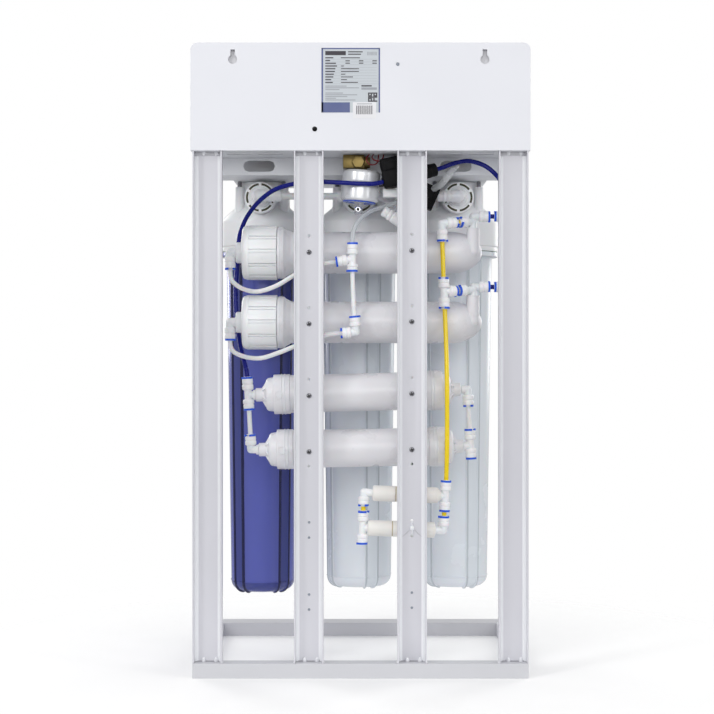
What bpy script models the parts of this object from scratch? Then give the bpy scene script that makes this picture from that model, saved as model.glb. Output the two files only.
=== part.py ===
"""Free-standing reverse osmosis unit: a steel stand, three filter housings, two membrane housings, two
inline filters, two flow restrictors, a booster pump under a sheet-metal hood, and the tubes between them.

Metres, +Z up. The origin is under the middle of the stand, on the floor. -Y is the service side, where
the tubes run and the keyholed panel is; +Y is the side where the feed water comes in.
"""

import math

import bmesh
import bpy
from mathutils import Matrix, Vector

# ---------------------------------------------------------------- driving dimensions
MM = 0.001
GAP = 0.3 * MM  # clearance between pieces that touch

UNIT_DEPTH = 385 * MM
UNIT_HEIGHT = 860 * MM
BACK = -UNIT_DEPTH / 2  # the service side
FRONT = UNIT_DEPTH / 2

HOOD_WIDTH = 460 * MM
HOOD_HEIGHT = 146 * MM
HOOD_CORNER = 9.5 * MM
SHEET = 1.5 * MM  # sheet steel of the hood and panel
HOOD_BOTTOM = UNIT_HEIGHT - HOOD_HEIGHT
KEYHOLE_X = 170.6 * MM
KEYHOLE_Z = HOOD_BOTTOM + 123.2 * MM
KEYHOLE_RADIUS = 6.2 * MM
KEYHOLE_SLOT = 6 * MM
KEYHOLE_RISE = 13.4 * MM

STAND_WIDTH = 455 * MM
STILE_WIDTH = 40 * MM
STILE_DEPTH = 18 * MM
STILE_WALL = 2 * MM
INNER_STILE_X = 70 * MM
OUTER_STILE_X = STAND_WIDTH / 2 - STILE_WIDTH / 2
RAIL_HEIGHT = 20 * MM
REAR_RAIL_DEPTH = 25 * MM
FRONT_RAIL_DEPTH = 40 * MM
SIDE_RAIL_WIDTH = 15 * MM
RAIL_WALL = 1.5 * MM

SHELF_THICKNESS = 2 * MM
SHELF_TOP = HOOD_BOTTOM + SHELF_THICKNESS
TRAY_SHEET = 2 * MM
TRAY_BOTTOM = HOOD_BOTTOM - 24.5 * MM
TRAY_BACK = BACK + 83 * MM
TRAY_FRONT = BACK + 262 * MM

FILTER_PITCH = 141.5 * MM
FILTER_CENTRE_X = -1.5 * MM
FILTER_Y = BACK + 195 * MM
BOWL_TOP_RADIUS = 53 * MM
BOWL_FOOT_RADIUS = 46 * MM
BOWL_WALL = 3.5 * MM
BOWL_CORNER = 14 * MM
BOWL_BOTTOMS = (94 * MM, 101 * MM, 101 * MM)
COLLAR_BOTTOM = 580.5 * MM
COLLAR_TOP = 587.3 * MM
NECK_TOP = 612 * MM
HEAD_BOTTOM = COLLAR_TOP + GAP
HEAD_TOP = TRAY_BOTTOM - GAP
HEAD_RADIUS = 63 * MM
PORT_Z = 662.5 * MM
PORT_RADIUS = 22.5 * MM
PORT_REACH = 70 * MM
PORT_BORE = 8.5 * MM
PORT_DEPTH = 28 * MM
CARTRIDGE_RADIUS = 31.5 * MM
CARTRIDGE_TOP = 613 * MM
LINK_REACH = 16.5 * MM  # from a port's face to the axis of the pipe between two heads

MEMBRANE_Y = BACK + 70 * MM
MEMBRANE_ZS = (580 * MM, 483 * MM)
MEMBRANE_RADIUS = 29 * MM
CAP_LEFT, CAP_RIGHT = -163.9 * MM, -115.6 * MM
DOME_START, DOME_END = 126 * MM, 169.4 * MM

TUBE = 6.35 / 2 * MM
WIDE_TUBE = 9.5 / 2 * MM
SOCKET = 7.8 * MM  # outer radius of a push-fit socket
NECK = 5.2 * MM  # outer radius of a fitting between its sockets
ELBOW = 6.4 * MM  # radius of an elbow's rounded corner

LARGE_SIDES = 24  # sides of a large round piece
MEDIUM_SIDES = 18
SMALL_SIDES = 8

WHITE_PAINT = (0.80, 0.82, 0.86)
WHITE_PLASTIC = (0.86, 0.88, 0.90)
CREAM_PLASTIC = (0.82, 0.80, 0.75)
BLUE_BOWL = (0.10, 0.12, 0.48)
BLUE_TUBE = (0.01, 0.02, 0.30)
CLEAR_TUBE = (0.75, 0.78, 0.80)
YELLOW = (0.78, 0.62, 0.02)
BLACK = (0.015, 0.015, 0.018)
BRASS = (0.50, 0.37, 0.12)
CHROME = (0.75, 0.76, 0.78)
RED = (0.65, 0.03, 0.03)
FILTER_WHITE = (0.88, 0.87, 0.84)
MOTOR_GREY = (0.45, 0.46, 0.48)


# ---------------------------------------------------------------- scene and helpers
def clear_scene():
    for item in list(bpy.data.objects):
        bpy.data.objects.remove(item, do_unlink=True)


def collection(name):
    made = bpy.data.collections.new(name)
    bpy.context.scene.collection.children.link(made)
    return made


clear_scene()
PARTS = collection("reverse_osmosis_unit")
CUTTERS = collection("cutters")


def painted(name, colour, roughness, metallic):
    """A Principled material, one for each sub-part."""
    made = bpy.data.materials.new(name)
    made.use_nodes = True
    shader = made.node_tree.nodes["Principled BSDF"]
    shader.inputs["Base Color"].default_value = (*colour, 1.0)
    shader.inputs["Roughness"].default_value = roughness
    shader.inputs["Metallic"].default_value = metallic
    return made


def finish(piece, colour, roughness=0.4, metallic=0.0):
    """Gives a sub-part its own material and smooth shading with sharp edges."""
    piece.data.materials.clear()
    piece.data.materials.append(painted(piece.name, colour, roughness, metallic))
    if piece.type == "MESH":
        piece.data.shade_smooth()
        piece.data.set_sharp_from_angle(angle=math.radians(35))
    return piece


def link(name, data, place=(0, 0, 0), direction=(0, 0, 1)):
    """A new object in the parts collection, its local Z along direction."""
    piece = bpy.data.objects.new(name, data)
    piece.location = place
    piece.rotation_mode = "QUATERNION"
    along = Vector(direction).normalized()
    if (along - Vector((0, 0, 1))).length > 1e-6:
        piece.rotation_quaternion = along.to_track_quat("Z", "Y")
    PARTS.objects.link(piece)
    return piece


def block(name, low, high, turn=0.0):
    """A box between two corners, turned about the Y axis through its centre."""
    low, high = Vector(low), Vector(high)
    shape = bmesh.new()
    bmesh.ops.create_cube(shape, size=1.0, matrix=Matrix.Diagonal((*(high - low), 1.0)))
    data = bpy.data.meshes.new(name)
    shape.to_mesh(data)
    shape.free()
    piece = link(name, data, (low + high) / 2)
    piece.rotation_quaternion = Matrix.Rotation(turn, 3, "Y").to_quaternion()
    return piece


def turned(name, outline, start, direction=(0, 0, 1), steps=LARGE_SIDES, ring=False):
    """Turns an outline of (distance along the axis, radius) about the axis from start along direction.

    The outline of a ring doesn't touch the axis and is closed on itself."""
    points = [(radius, along) for along, radius in outline]
    area = sum(a[0] * b[1] - b[0] * a[1] for a, b in zip(points, points[1:] + points[:1]))
    if area > 0:
        points.reverse()
    shape = bmesh.new()
    verts = [shape.verts.new((radius, 0, along)) for radius, along in points]
    for one, other in zip(verts, verts[1:]):
        shape.edges.new((one, other))
    if ring:
        shape.edges.new((verts[-1], verts[0]))
    data = bpy.data.meshes.new(name)
    shape.to_mesh(data)
    shape.free()
    piece = link(name, data, start, direction)
    spin = piece.modifiers.new("turn", "SCREW")
    spin.angle = 2 * math.pi
    spin.steps = spin.render_steps = steps
    spin.use_merge_vertices = True
    spin.merge_threshold = 0.00001
    return piece


def rod(name, start, end, radius, steps=SMALL_SIDES):
    """A plain round bar between two points."""
    start, end = Vector(start), Vector(end)
    length = (end - start).length
    return turned(name, [(0, 0), (0, radius), (length, radius), (length, 0)], start, end - start, steps)


def arc(centre, radius, first, last, count):
    """Points along a circular arc in the outline's plane, angles in degrees."""
    found = []
    for i in range(count + 1):
        angle = math.radians(first + (last - first) * i / count)
        found.append((centre[0] + radius * math.cos(angle), centre[1] + radius * math.sin(angle)))
    return found


def ball(name, centre, radius=ELBOW, steps=10):
    """A sphere, for the rounded corner of an elbow."""
    outline = [(z, r) for r, z in arc((0, 0), radius, -60, 60, 4)]
    return turned(name, [(-radius, 0), *outline, (radius, 0)], centre, steps=steps)


def to_mesh(piece):
    """Replaces a curve object by its mesh, with the caps welded."""
    bpy.context.view_layer.update()
    evaluated = piece.evaluated_get(bpy.context.evaluated_depsgraph_get())
    data = bpy.data.meshes.new_from_object(evaluated)
    shape = bmesh.new()
    shape.from_mesh(data)
    bmesh.ops.remove_doubles(shape, verts=shape.verts, dist=0.00001)
    shape.to_mesh(data)
    shape.free()
    name, matrix = piece.name, piece.matrix_world.copy()
    bpy.data.objects.remove(piece, do_unlink=True)
    made = bpy.data.objects.new(name, data)
    made.matrix_world = matrix
    PARTS.objects.link(made)
    return made


def flat(name, outline, thickness, place=(0, 0, 0), direction=(0, 0, 1)):
    """A flat outline as a filled 2D curve, extruded to its thickness and made a mesh."""
    curve = bpy.data.curves.new(name, "CURVE")
    curve.dimensions = "2D"
    curve.fill_mode = "BOTH"
    curve.extrude = thickness / 2
    spline = curve.splines.new("POLY")
    spline.points.add(len(outline) - 1)
    for point, (x, y) in zip(spline.points, outline):
        point.co = (x, y, 0, 1)
    spline.use_cyclic_u = True
    return to_mesh(link(name, curve, place, direction))


def upright(name, outline, y_low, y_high, z):
    """An outline drawn across and up, extruded along Y."""
    piece = flat(name, outline, y_high - y_low)
    matrix = Matrix(((1, 0, 0, 0), (0, 0, -1, (y_low + y_high) / 2), (0, 1, 0, z), (0, 0, 0, 1)))
    piece.data.transform(matrix)
    return piece


def boolean(piece, other, operation):
    """Cuts other from piece, or joins it to piece. The other shape goes to the cutters."""
    PARTS.objects.unlink(other)
    CUTTERS.objects.link(other)
    other.hide_render = True
    other.display_type = "WIRE"
    step = piece.modifiers.new(operation.lower(), "BOOLEAN")
    step.operation = operation
    step.object = other
    step.solver = "EXACT"
    return piece


def cut(piece, *others):
    for other in others:
        boolean(piece, other, "DIFFERENCE")
    return piece


def join(piece, *others):
    for other in others:
        boolean(piece, other, "UNION")
    return piece


def smooth_route(points, spacing, lead=4 * MM):
    """Points at even spacing on one smooth curve through the route's own points, straight at both ends."""
    route = [Vector(p) for p in points]
    ends = [2 * route[0] - route[1], *route, 2 * route[-1] - route[-2]]
    fine = []
    for a, b, c, d in zip(ends, ends[1:], ends[2:], ends[3:]):
        for i in range(24):
            t = i / 24
            fine.append(
                0.5 * (2 * b + (c - a) * t + (2 * a - 5 * b + 4 * c - d) * t**2
                       + (3 * b - a - 3 * c + d) * t**3)
            )
    fine.append(route[-1])
    length = sum((b - a).length for a, b in zip(fine, fine[1:]))
    count = max(2, round(length / spacing))
    found, walked, target = [fine[0]], 0.0, length / count
    for a, b in zip(fine, fine[1:]):
        step = (b - a).length
        while walked + step >= target - 1e-9 and len(found) < count:
            found.append(a.lerp(b, (target - walked) / step))
            target += length / count
        walked += step
    start = route[0] + (route[1] - route[0]).normalized() * lead
    end = route[-1] + (route[-2] - route[-1]).normalized() * lead
    return [route[0], start, *found[1:], end, route[-1]]


def hose(name, points, radius, colour, spacing=16 * MM):
    """A flexible tube along one smooth route."""
    curve = bpy.data.curves.new(name, "CURVE")
    curve.dimensions = "3D"
    curve.bevel_depth = radius
    curve.bevel_resolution = 2
    curve.use_fill_caps = True
    route = smooth_route(points, spacing)
    spline = curve.splines.new("POLY")
    spline.points.add(len(route) - 1)
    for point, place in zip(spline.points, route):
        point.co = (*place, 1)
    piece = bpy.data.objects.new(name, curve)
    PARTS.objects.link(piece)
    return finish(piece, colour, 0.3)


def attach(child, parent):
    """Parents a piece without moving it."""
    bpy.context.view_layer.update()
    child.parent = parent
    child.matrix_parent_inverse = parent.matrix_world.inverted()


def mm(x, y, z):
    return Vector((x * MM, y * MM, z * MM))


# ---------------------------------------------------------------- stand
def stile(name, x, holes):
    """An upright channel, open to the service side. Holes are (height, radius) pairs in its web."""
    half, wall, depth = STILE_WIDTH / 2, STILE_WALL, STILE_DEPTH
    outline = [
        (-half, 0), (-half + wall, 0), (-half + wall, depth - wall), (half - wall, depth - wall),
        (half - wall, 0), (half, 0), (half, depth), (-half, depth),
    ]
    bottom, top = RAIL_HEIGHT + GAP, HOOD_BOTTOM - GAP
    piece = flat(name, outline, top - bottom, (x, BACK, (bottom + top) / 2))
    for i, (height, radius) in enumerate(holes):
        near, far = (x, BACK + depth / 2, height), (x, BACK + depth * 1.2, height)
        cut(piece, rod(f"{name}_hole_{i}", near, far, radius, 6))
    return finish(piece, WHITE_PAINT, 0.4, 0.1)


def rail(name, low, high):
    """A rectangular tube, closed at its ends, with two drain holes underneath."""
    low, high = Vector(low), Vector(high)
    wall = Vector((RAIL_WALL,) * 3)
    piece = block(name, low, high)
    cut(piece, block(f"{name}_hollow", low + wall, high - wall))
    middle, span = (low + high) / 2, high - low
    along = Vector((span.x, 0, 0)) if span.x > span.y else Vector((0, span.y, 0))
    for side in (-0.4, 0.4):
        spot = middle + along * side
        under, inside = (spot.x, spot.y, -RAIL_WALL), (spot.x, spot.y, 4 * RAIL_WALL)
        cut(piece, rod(f"{name}_drain_{side}", under, inside, 4 * MM, 8))
    return finish(piece, WHITE_PAINT, 0.4, 0.1)


def build_stand():
    screw, spare, tie = 2.0 * MM, 2.0 * MM, 2.2 * MM
    left = [(z * MM, screw) for z in (577.4, 479.9, 382.0, 305.6, 111.1, 90.7)]
    left += [(z * MM, spare) for z in (599.5, 501.7, 404.3, 285.8)]
    left += [(z * MM, tie) for z in (209.5, 188.6)]
    right = [(z * MM, screw) for z in (579.6, 482.8, 384.7, 308.6, 113.8, 93.2)]
    right += [(z * MM, spare) for z in (601.6, 504.2, 406.8, 289.0)]
    right += [(z * MM, tie) for z in (211.9, 190.9)]
    stile("stile_outer_left", -OUTER_STILE_X, [])
    stile("stile_inner_left", -INNER_STILE_X, left)
    stile("stile_inner_right", INNER_STILE_X, right)
    stile("stile_outer_right", OUTER_STILE_X, [])
    half = STAND_WIDTH / 2
    rail("base_rail_rear", (-half, BACK, 0), (half, BACK + REAR_RAIL_DEPTH, RAIL_HEIGHT))
    rail("base_rail_front", (-half, FRONT - FRONT_RAIL_DEPTH, 0), (half, FRONT, RAIL_HEIGHT))
    rear_end = BACK + REAR_RAIL_DEPTH + GAP
    front_end = FRONT - FRONT_RAIL_DEPTH - GAP
    rail("base_rail_left", (-half, rear_end, 0), (-half + SIDE_RAIL_WIDTH, front_end, RAIL_HEIGHT))
    rail("base_rail_right", (half - SIDE_RAIL_WIDTH, rear_end, 0), (half, front_end, RAIL_HEIGHT))


def slot(name, centre, length, width, depth, upward=False):
    """A round-ended slot cutter, its length across the unit, through a level or an upright sheet."""
    half, radius = length / 2 - width / 2, width / 2
    outline = arc((half, 0), radius, -90, 90, 4) + arc((-half, 0), radius, 90, 270, 4)
    if upward:
        return flat(name, outline, depth, centre)
    x, y, z = centre
    piece = upright(name, outline, y - depth / 2, y + depth / 2, z)
    piece.data.transform(Matrix.Translation((x, 0, 0)))
    return piece


def build_shelf():
    """The level sheet between stand and hood, with cable slots near the panel and holes for two tubes."""
    side = HOOD_WIDTH / 2 - SHEET - GAP
    low = (-side, BACK + SHEET + GAP, HOOD_BOTTOM)
    shelf = block("equipment_shelf", low, (side, FRONT - SHEET - GAP, SHELF_TOP))
    middle = (HOOD_BOTTOM + SHELF_TOP) / 2
    for x in (-167, -123, 123, 167):
        for depth in (18, 44):
            centre = (x * MM, BACK + depth * MM, middle)
            cut(shelf, slot(f"shelf_slot_{x}_{depth}", centre, 36 * MM, 7 * MM, 10 * MM, upward=True))
    for i, (x, y, radius) in enumerate(((73, -125, 5.5), (134, -86, 7.5))):
        under, over = mm(x, y, 709), mm(x, y, 721)
        cut(shelf, rod(f"shelf_hole_{i}", under, over, radius * MM, 16))
    return finish(shelf, WHITE_PAINT, 0.4, 0.1)


def build_tray():
    """The U-shaped tray under the shelf that the filter heads hang from."""
    side, deep = STAND_WIDTH / 2, 183 * MM
    top = HOOD_BOTTOM - GAP
    tray = block("hanging_tray", (-side, TRAY_BACK, TRAY_BOTTOM), (side, TRAY_BACK + TRAY_SHEET, top))
    flange_end = BACK + 152 * MM
    join(
        tray,
        block("tray_flange", (-side, TRAY_BACK + TRAY_SHEET / 2, TRAY_BOTTOM),
              (side, flange_end, TRAY_BOTTOM + TRAY_SHEET)),
        block("tray_plate", (-deep, flange_end - 0.02, TRAY_BOTTOM),
              (deep, TRAY_FRONT - TRAY_SHEET / 2, TRAY_BOTTOM + TRAY_SHEET)),
        block("tray_lip", (-deep, TRAY_FRONT - TRAY_SHEET, TRAY_BOTTOM), (deep, TRAY_FRONT, top)),
    )
    height = TRAY_BOTTOM + 12.7 * MM
    for x in (-142 * MM, 134 * MM):
        for tag, y in (("back", TRAY_BACK), ("front", TRAY_FRONT)):
            cut(tray, slot(f"tray_slot_{tag}_{x:.3f}", (x, y, height), 44.5 * MM, 15.5 * MM, 20 * MM))
    for i in range(3):
        under = (filter_x(i), FILTER_Y, TRAY_BOTTOM - 0.003)
        over = (filter_x(i), FILTER_Y, TRAY_BOTTOM + 0.008)
        cut(tray, rod(f"tray_hole_{i}", under, over, 14 * MM, MEDIUM_SIDES))
    return finish(tray, WHITE_PAINT, 0.4, 0.1)


def hood_outline(width, height, corner):
    """The front view of the hood: square below, rounded above."""
    half = width / 2
    right = arc((half - corner, height - corner), corner, 0, 90, 5)
    left = arc((-half + corner, height - corner), corner, 90, 180, 5)
    return [(-half, 0), (half, 0), *right, *left]


def build_hood():
    rear = BACK + SHEET + GAP
    hood = upright("top_hood", hood_outline(HOOD_WIDTH, HOOD_HEIGHT, HOOD_CORNER), rear, FRONT, HOOD_BOTTOM)
    below = 20 * MM
    inner = hood_outline(HOOD_WIDTH - 2 * SHEET, HOOD_HEIGHT - SHEET + below, HOOD_CORNER - SHEET)
    cut(hood, upright("hood_inside", inner, rear - below, FRONT - SHEET, HOOD_BOTTOM - below))
    return finish(hood, WHITE_PAINT, 0.35, 0.1)


def build_panel():
    """The flat back panel, with two keyholes to hang the unit by, a small hole and a cable hole."""
    panel = upright("back_panel", hood_outline(HOOD_WIDTH, HOOD_HEIGHT, HOOD_CORNER), BACK, BACK + SHEET,
                    HOOD_BOTTOM)
    near, far = BACK - 10 * MM, BACK + 10 * MM
    for side in (-1, 1):
        x = side * KEYHOLE_X - 2.3 * MM
        half = KEYHOLE_SLOT / 2
        cut(
            panel,
            rod(f"keyhole_{side}", (x, near, KEYHOLE_Z), (x, far, KEYHOLE_Z), KEYHOLE_RADIUS, 20),
            block(f"keyhole_slot_{side}", (x - half, near, KEYHOLE_Z),
                  (x + half, far, KEYHOLE_Z + KEYHOLE_RISE)),
        )
    for i, (x, z, radius) in enumerate(((50.4, 830.7, 2.5), (-61.9, 743.1, 3.1))):
        cut(panel, rod(f"panel_hole_{i}", (x * MM, near, z * MM), (x * MM, far, z * MM), radius * MM, 12))
    return finish(panel, WHITE_PAINT, 0.35, 0.1)


# ---------------------------------------------------------------- filter housings
def filter_x(index):
    return FILTER_CENTRE_X + (index - 1) * FILTER_PITCH


def build_head(index):
    """A filter head: skirt around the bowl's neck, cap above it, and a port to each of -Y and +Y."""
    x, name = filter_x(index), f"filter_head_{index + 1}"
    cavity = [
        (613.5, 0), (613.5, 13.5), (640.0, 13.5), (640.0, 52.0), (615.8, 52.0), (615.8, 57.5),
    ]
    outside = [(632.0, 63.0), (645.0, 50.0), (653.0, 40.0), (658.0, 38.0)]
    outline = [
        *[(z * MM, r * MM) for z, r in cavity], (HEAD_BOTTOM, 57.5 * MM), (HEAD_BOTTOM, HEAD_RADIUS),
        *[(z * MM, r * MM) for z, r in outside], (HEAD_TOP, 38 * MM), (HEAD_TOP, 0),
    ]
    head = turned(name, outline, (x, FILTER_Y, 0))
    length = 2 * PORT_REACH
    ports = [
        (PORT_DEPTH, 0), (PORT_DEPTH, PORT_BORE), (0, PORT_BORE), (0, PORT_RADIUS), (length, PORT_RADIUS),
        (length, PORT_BORE), (length - PORT_DEPTH, PORT_BORE), (length - PORT_DEPTH, 0),
    ]
    start = (x, FILTER_Y - PORT_REACH, PORT_Z)
    join(head, turned(f"{name}_ports", ports, start, (0, 1, 0), MEDIUM_SIDES))
    for side_x in (-1, 1):
        for side_y in (-1, 1):
            spot = (x + side_x * 32 * MM, FILTER_Y + side_y * 30 * MM)
            low, high = (*spot, 650 * MM), (*spot, HEAD_TOP)
            join(head, rod(f"{name}_boss_{side_x}_{side_y}", low, high, 6 * MM))
    cut(head, rod(f"{name}_vent", (x, FILTER_Y, 668.5 * MM), (x, FILTER_Y, 700 * MM), 4.4 * MM, 12))
    return finish(head, WHITE_PLASTIC)


def build_bowl(index):
    """The screw-on bowl, its neck up inside the head, with its seal on the rim."""
    x, bottom = filter_x(index), BOWL_BOTTOMS[index]
    wall, corner = BOWL_WALL, BOWL_CORNER
    centre = (BOWL_FOOT_RADIUS - corner, bottom + corner)
    outer = [(z, r) for r, z in arc(centre, corner, -90, 0, 3)]
    inner = [(z, r) for r, z in arc(centre, corner - wall, 0, -90, 3)]
    outline = [
        (bottom, 0), *outer, (COLLAR_BOTTOM, BOWL_TOP_RADIUS), (COLLAR_BOTTOM, 62 * MM),
        (COLLAR_TOP, 62 * MM), (COLLAR_TOP, 56.5 * MM), (NECK_TOP, 56.5 * MM),
        (NECK_TOP, 50 * MM), (COLLAR_BOTTOM, BOWL_TOP_RADIUS - wall), *inner, (bottom + wall, 0),
    ]
    bowl = turned(f"filter_bowl_{index + 1}", outline, (x, FILTER_Y, 0))
    if index == 0:
        finish(bowl, BLUE_BOWL, 0.15)
    else:
        finish(bowl, WHITE_PLASTIC)

    section = 1.6 * MM
    ring = [(z, r) for r, z in arc((53.5 * MM, NECK_TOP + GAP + section), section, 0, 288, 4)]
    seal = turned(f"bowl_seal_{index + 1}", ring, (x, FILTER_Y, 0), ring=True)
    finish(seal, BLACK, 0.6)
    attach(seal, bowl)


def build_cartridge(index):
    """A 20 inch cartridge: a long cylinder with a bore and a cap at each end."""
    low, high, cap = BOWL_BOTTOMS[index] + BOWL_WALL + GAP, CARTRIDGE_TOP, 12 * MM
    bore, radius, waist = 14 * MM, CARTRIDGE_RADIUS, 30.5 * MM
    outline = [
        (low, bore), (low, radius), (low + cap, radius), (low + cap, waist), (high - cap, waist),
        (high - cap, radius), (high, radius), (high, bore),
    ]
    place = (filter_x(index), FILTER_Y, 0)
    piece = turned(f"filter_cartridge_{index + 1}", outline, place, steps=MEDIUM_SIDES, ring=True)
    return finish(piece, FILTER_WHITE, 0.8)


def build_button(index):
    """The red pressure-release button, in its hole in the head's top."""
    outline = [(672, 0), (672, 4), (694.5, 4), (694.5, 7), (699, 7), (700, 6), (700, 0)]
    outline = [(z * MM, r * MM) for z, r in outline]
    button = turned(f"vent_button_{index + 1}", outline, (filter_x(index), FILTER_Y, 0), steps=12)
    return finish(button, RED)


def elbow_in_port(name, piece, index, side):
    """Joins to piece a nipple in a head's port and the ball at its elbow. Returns the elbow's centre."""
    face = FILTER_Y + side * PORT_REACH
    corner = Vector((filter_x(index), face + side * LINK_REACH, PORT_Z))
    inside = (filter_x(index), face - side * 20 * MM, PORT_Z)
    join(piece, rod(f"{name}_nipple_{index}", inside, corner, PORT_BORE - 0.6 * MM, 12))
    join(piece, ball(f"{name}_corner_{index}", corner, 10 * MM, 12))
    return corner


def build_head_link(name, left, side):
    """Two elbows and the tube between them, from one head's port to the next one's."""
    y = FILTER_Y + side * (PORT_REACH + LINK_REACH)
    x_left, x_right = filter_x(left), filter_x(left + 1)
    sockets, thin, thick = 30 * MM, WIDE_TUBE, 9 * MM
    length = x_right - x_left
    outline = [
        (0, 0), (0, thick), (sockets, thick), (sockets, thin), (length - sockets, thin),
        (length - sockets, thick), (length, thick), (length, 0),
    ]
    piece = turned(name, outline, (x_left, y, PORT_Z), (1, 0, 0), 12)
    for index in (left, left + 1):
        elbow_in_port(name, piece, index, side)
    return finish(piece, WHITE_PLASTIC)


def build_filters():
    for index in range(3):
        build_head(index)
        build_bowl(index)
        build_cartridge(index)
        build_button(index)
    build_head_link("head_link_1_2", 0, -1)
    build_head_link("head_link_2_3", 1, 1)


# ---------------------------------------------------------------- membrane housings
def build_membrane_housing(number, z):
    """A tube with a domed right end, a neck and collar at the left, and two ports on top at the right."""
    body, wall, neck, collar = MEMBRANE_RADIUS, 4 * MM, 30.5 * MM, 36 * MM
    bore = body - wall
    dome = DOME_END - DOME_START
    angles = [math.radians(18 * i) for i in range(5)]
    outside = [(DOME_START + dome * math.sin(a), body * math.cos(a)) for a in angles]
    inside = [(DOME_START + (dome - wall) * math.sin(a), bore * math.cos(a)) for a in reversed(angles)]
    outline = [
        (DOME_END - wall, 0), *inside, (-150 * MM, bore), (-150 * MM, neck), (CAP_RIGHT + GAP, neck),
        (CAP_RIGHT + GAP, collar), (-106.5 * MM, collar), (-103.2 * MM, 33 * MM), (-96.5 * MM, body),
        *outside,
        (DOME_END, 0),
    ]
    housing = turned(f"membrane_housing_{number}", outline, (0, MEMBRANE_Y, z), (1, 0, 0), MEDIUM_SIDES)
    for tag, x, y, lower in (("front", 156, -137.5, -4), ("rear", 158, -113, 12)):
        tip, top = z + lower * MM, z + (33.6 if number == 1 else 37.2) * MM
        rise = top - tip
        taper = [(0, 0), (0, 4.5 * MM), (rise * 0.45, 8.5 * MM), (rise, 8.5 * MM), (rise, 0)]
        join(housing, turned(f"membrane_port_{tag}_{number}", taper, (x * MM, y * MM, tip), steps=12))
    return finish(housing, WHITE_PLASTIC)


def build_membrane_cap(number, z):
    """The screw cap, with a bored boss that its elbow goes into."""
    bore, boss = 6 * MM, 14.6 * MM
    thread, face = 31 * MM, -150.6 * MM
    outline = [
        (-173.4 * MM, bore), (-173.4 * MM, boss), (CAP_LEFT, boss), (CAP_LEFT, 33 * MM),
        (CAP_LEFT + 2 * MM, 36.5 * MM), (CAP_LEFT + 6 * MM, 38 * MM), (CAP_RIGHT, 38 * MM),
        (CAP_RIGHT, thread), (face, thread), (face, bore),
    ]
    cap = turned(f"membrane_cap_{number}", outline, (0, MEMBRANE_Y, z), (1, 0, 0), ring=True)
    return finish(cap, WHITE_PLASTIC)


def build_cap_elbow(number, x, z_top, z_bottom):
    """The push-fit elbow on a cap's boss: a neck sideways into the boss and a socket downwards."""
    z = MEMBRANE_ZS[number - 1]
    length = z_top - z_bottom
    outline = [
        (0, 0), (0, SOCKET), (length * 0.62, SOCKET), (length * 0.66, NECK), (length, NECK), (length, 0),
    ]
    piece = turned(f"cap_elbow_{number}", outline, (x, MEMBRANE_Y, z_bottom), steps=10)
    start, end = (x, MEMBRANE_Y, z), (-168 * MM, MEMBRANE_Y, z)
    join(piece, rod(f"cap_elbow_neck_{number}", start, end, NECK * 0.97))
    return finish(piece, WHITE_PLASTIC)


def build_membrane_element(number, z):
    """The wound element: its roll, the seal at the left, and the tube through it."""
    radius, seal, tube, bore = 22.8 * MM, 24.2 * MM, 8.5 * MM, 4 * MM
    low, high = -146 * MM, 125 * MM
    outline = [
        (low, bore), (low, tube), (low + 8 * MM, tube), (low + 8 * MM, seal), (low + 18 * MM, seal),
        (low + 18 * MM, radius), (high - 8 * MM, radius), (high - 8 * MM, tube), (high, tube), (high, bore),
    ]
    element = turned(f"membrane_element_{number}", outline, (0, MEMBRANE_Y, z), (1, 0, 0), 14, ring=True)
    return finish(element, FILTER_WHITE, 0.5)


def build_inline_filter(number, left, right):
    """An inline filter: a round body between two flanged caps, each with a nozzle."""
    length = (right - left).length
    side = [(0, 9.0), (12, 9.4), (15.6, 23.0), (25.3, 23.8), (25.5, 27.5), (48.0, 27.5), (48.4, 26.3)]
    side = [(along * MM, radius * MM) for along, radius in side]
    outline = [(0, 0), *side, *[(length - along, radius) for along, radius in reversed(side)], (length, 0)]
    canister = turned(f"inline_filter_{number}", outline, left, right - left, MEDIUM_SIDES)
    return finish(canister, WHITE_PLASTIC)


def build_restrictor(number, left, right, seam):
    """A flow restrictor: a small two-part capsule with tapered ends and a groove at the seam."""
    length, radius, nose = (right - left).length, 10.9 * MM, 5.6 * MM
    groove = radius - 0.8 * MM
    outline = [
        (0, 0), (0, nose), (3 * MM, radius - 1 * MM), (5 * MM, radius), (seam, radius), (seam, groove),
        (seam + 1.5 * MM, groove), (seam + 1.5 * MM, radius), (length - 6 * MM, radius),
        (length - 1 * MM, nose), (length, nose), (length, 0),
    ]
    return finish(turned(f"flow_restrictor_{number}", outline, left, right - left, 12), CREAM_PLASTIC)


# ---------------------------------------------------------------- fittings
def stack(name, start, toward, stretches):
    """Sockets, necks and short tubes on one line, as (length in mm, radius) stretches from start."""
    outline, along = [(0, 0)], 0.0
    for length, radius in stretches:
        outline += [(along, radius), (along + length * MM, radius)]
        along += length * MM
    outline.append((along, 0))
    return turned(name, outline, start, Vector(toward) - Vector(start), SMALL_SIDES)


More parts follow.
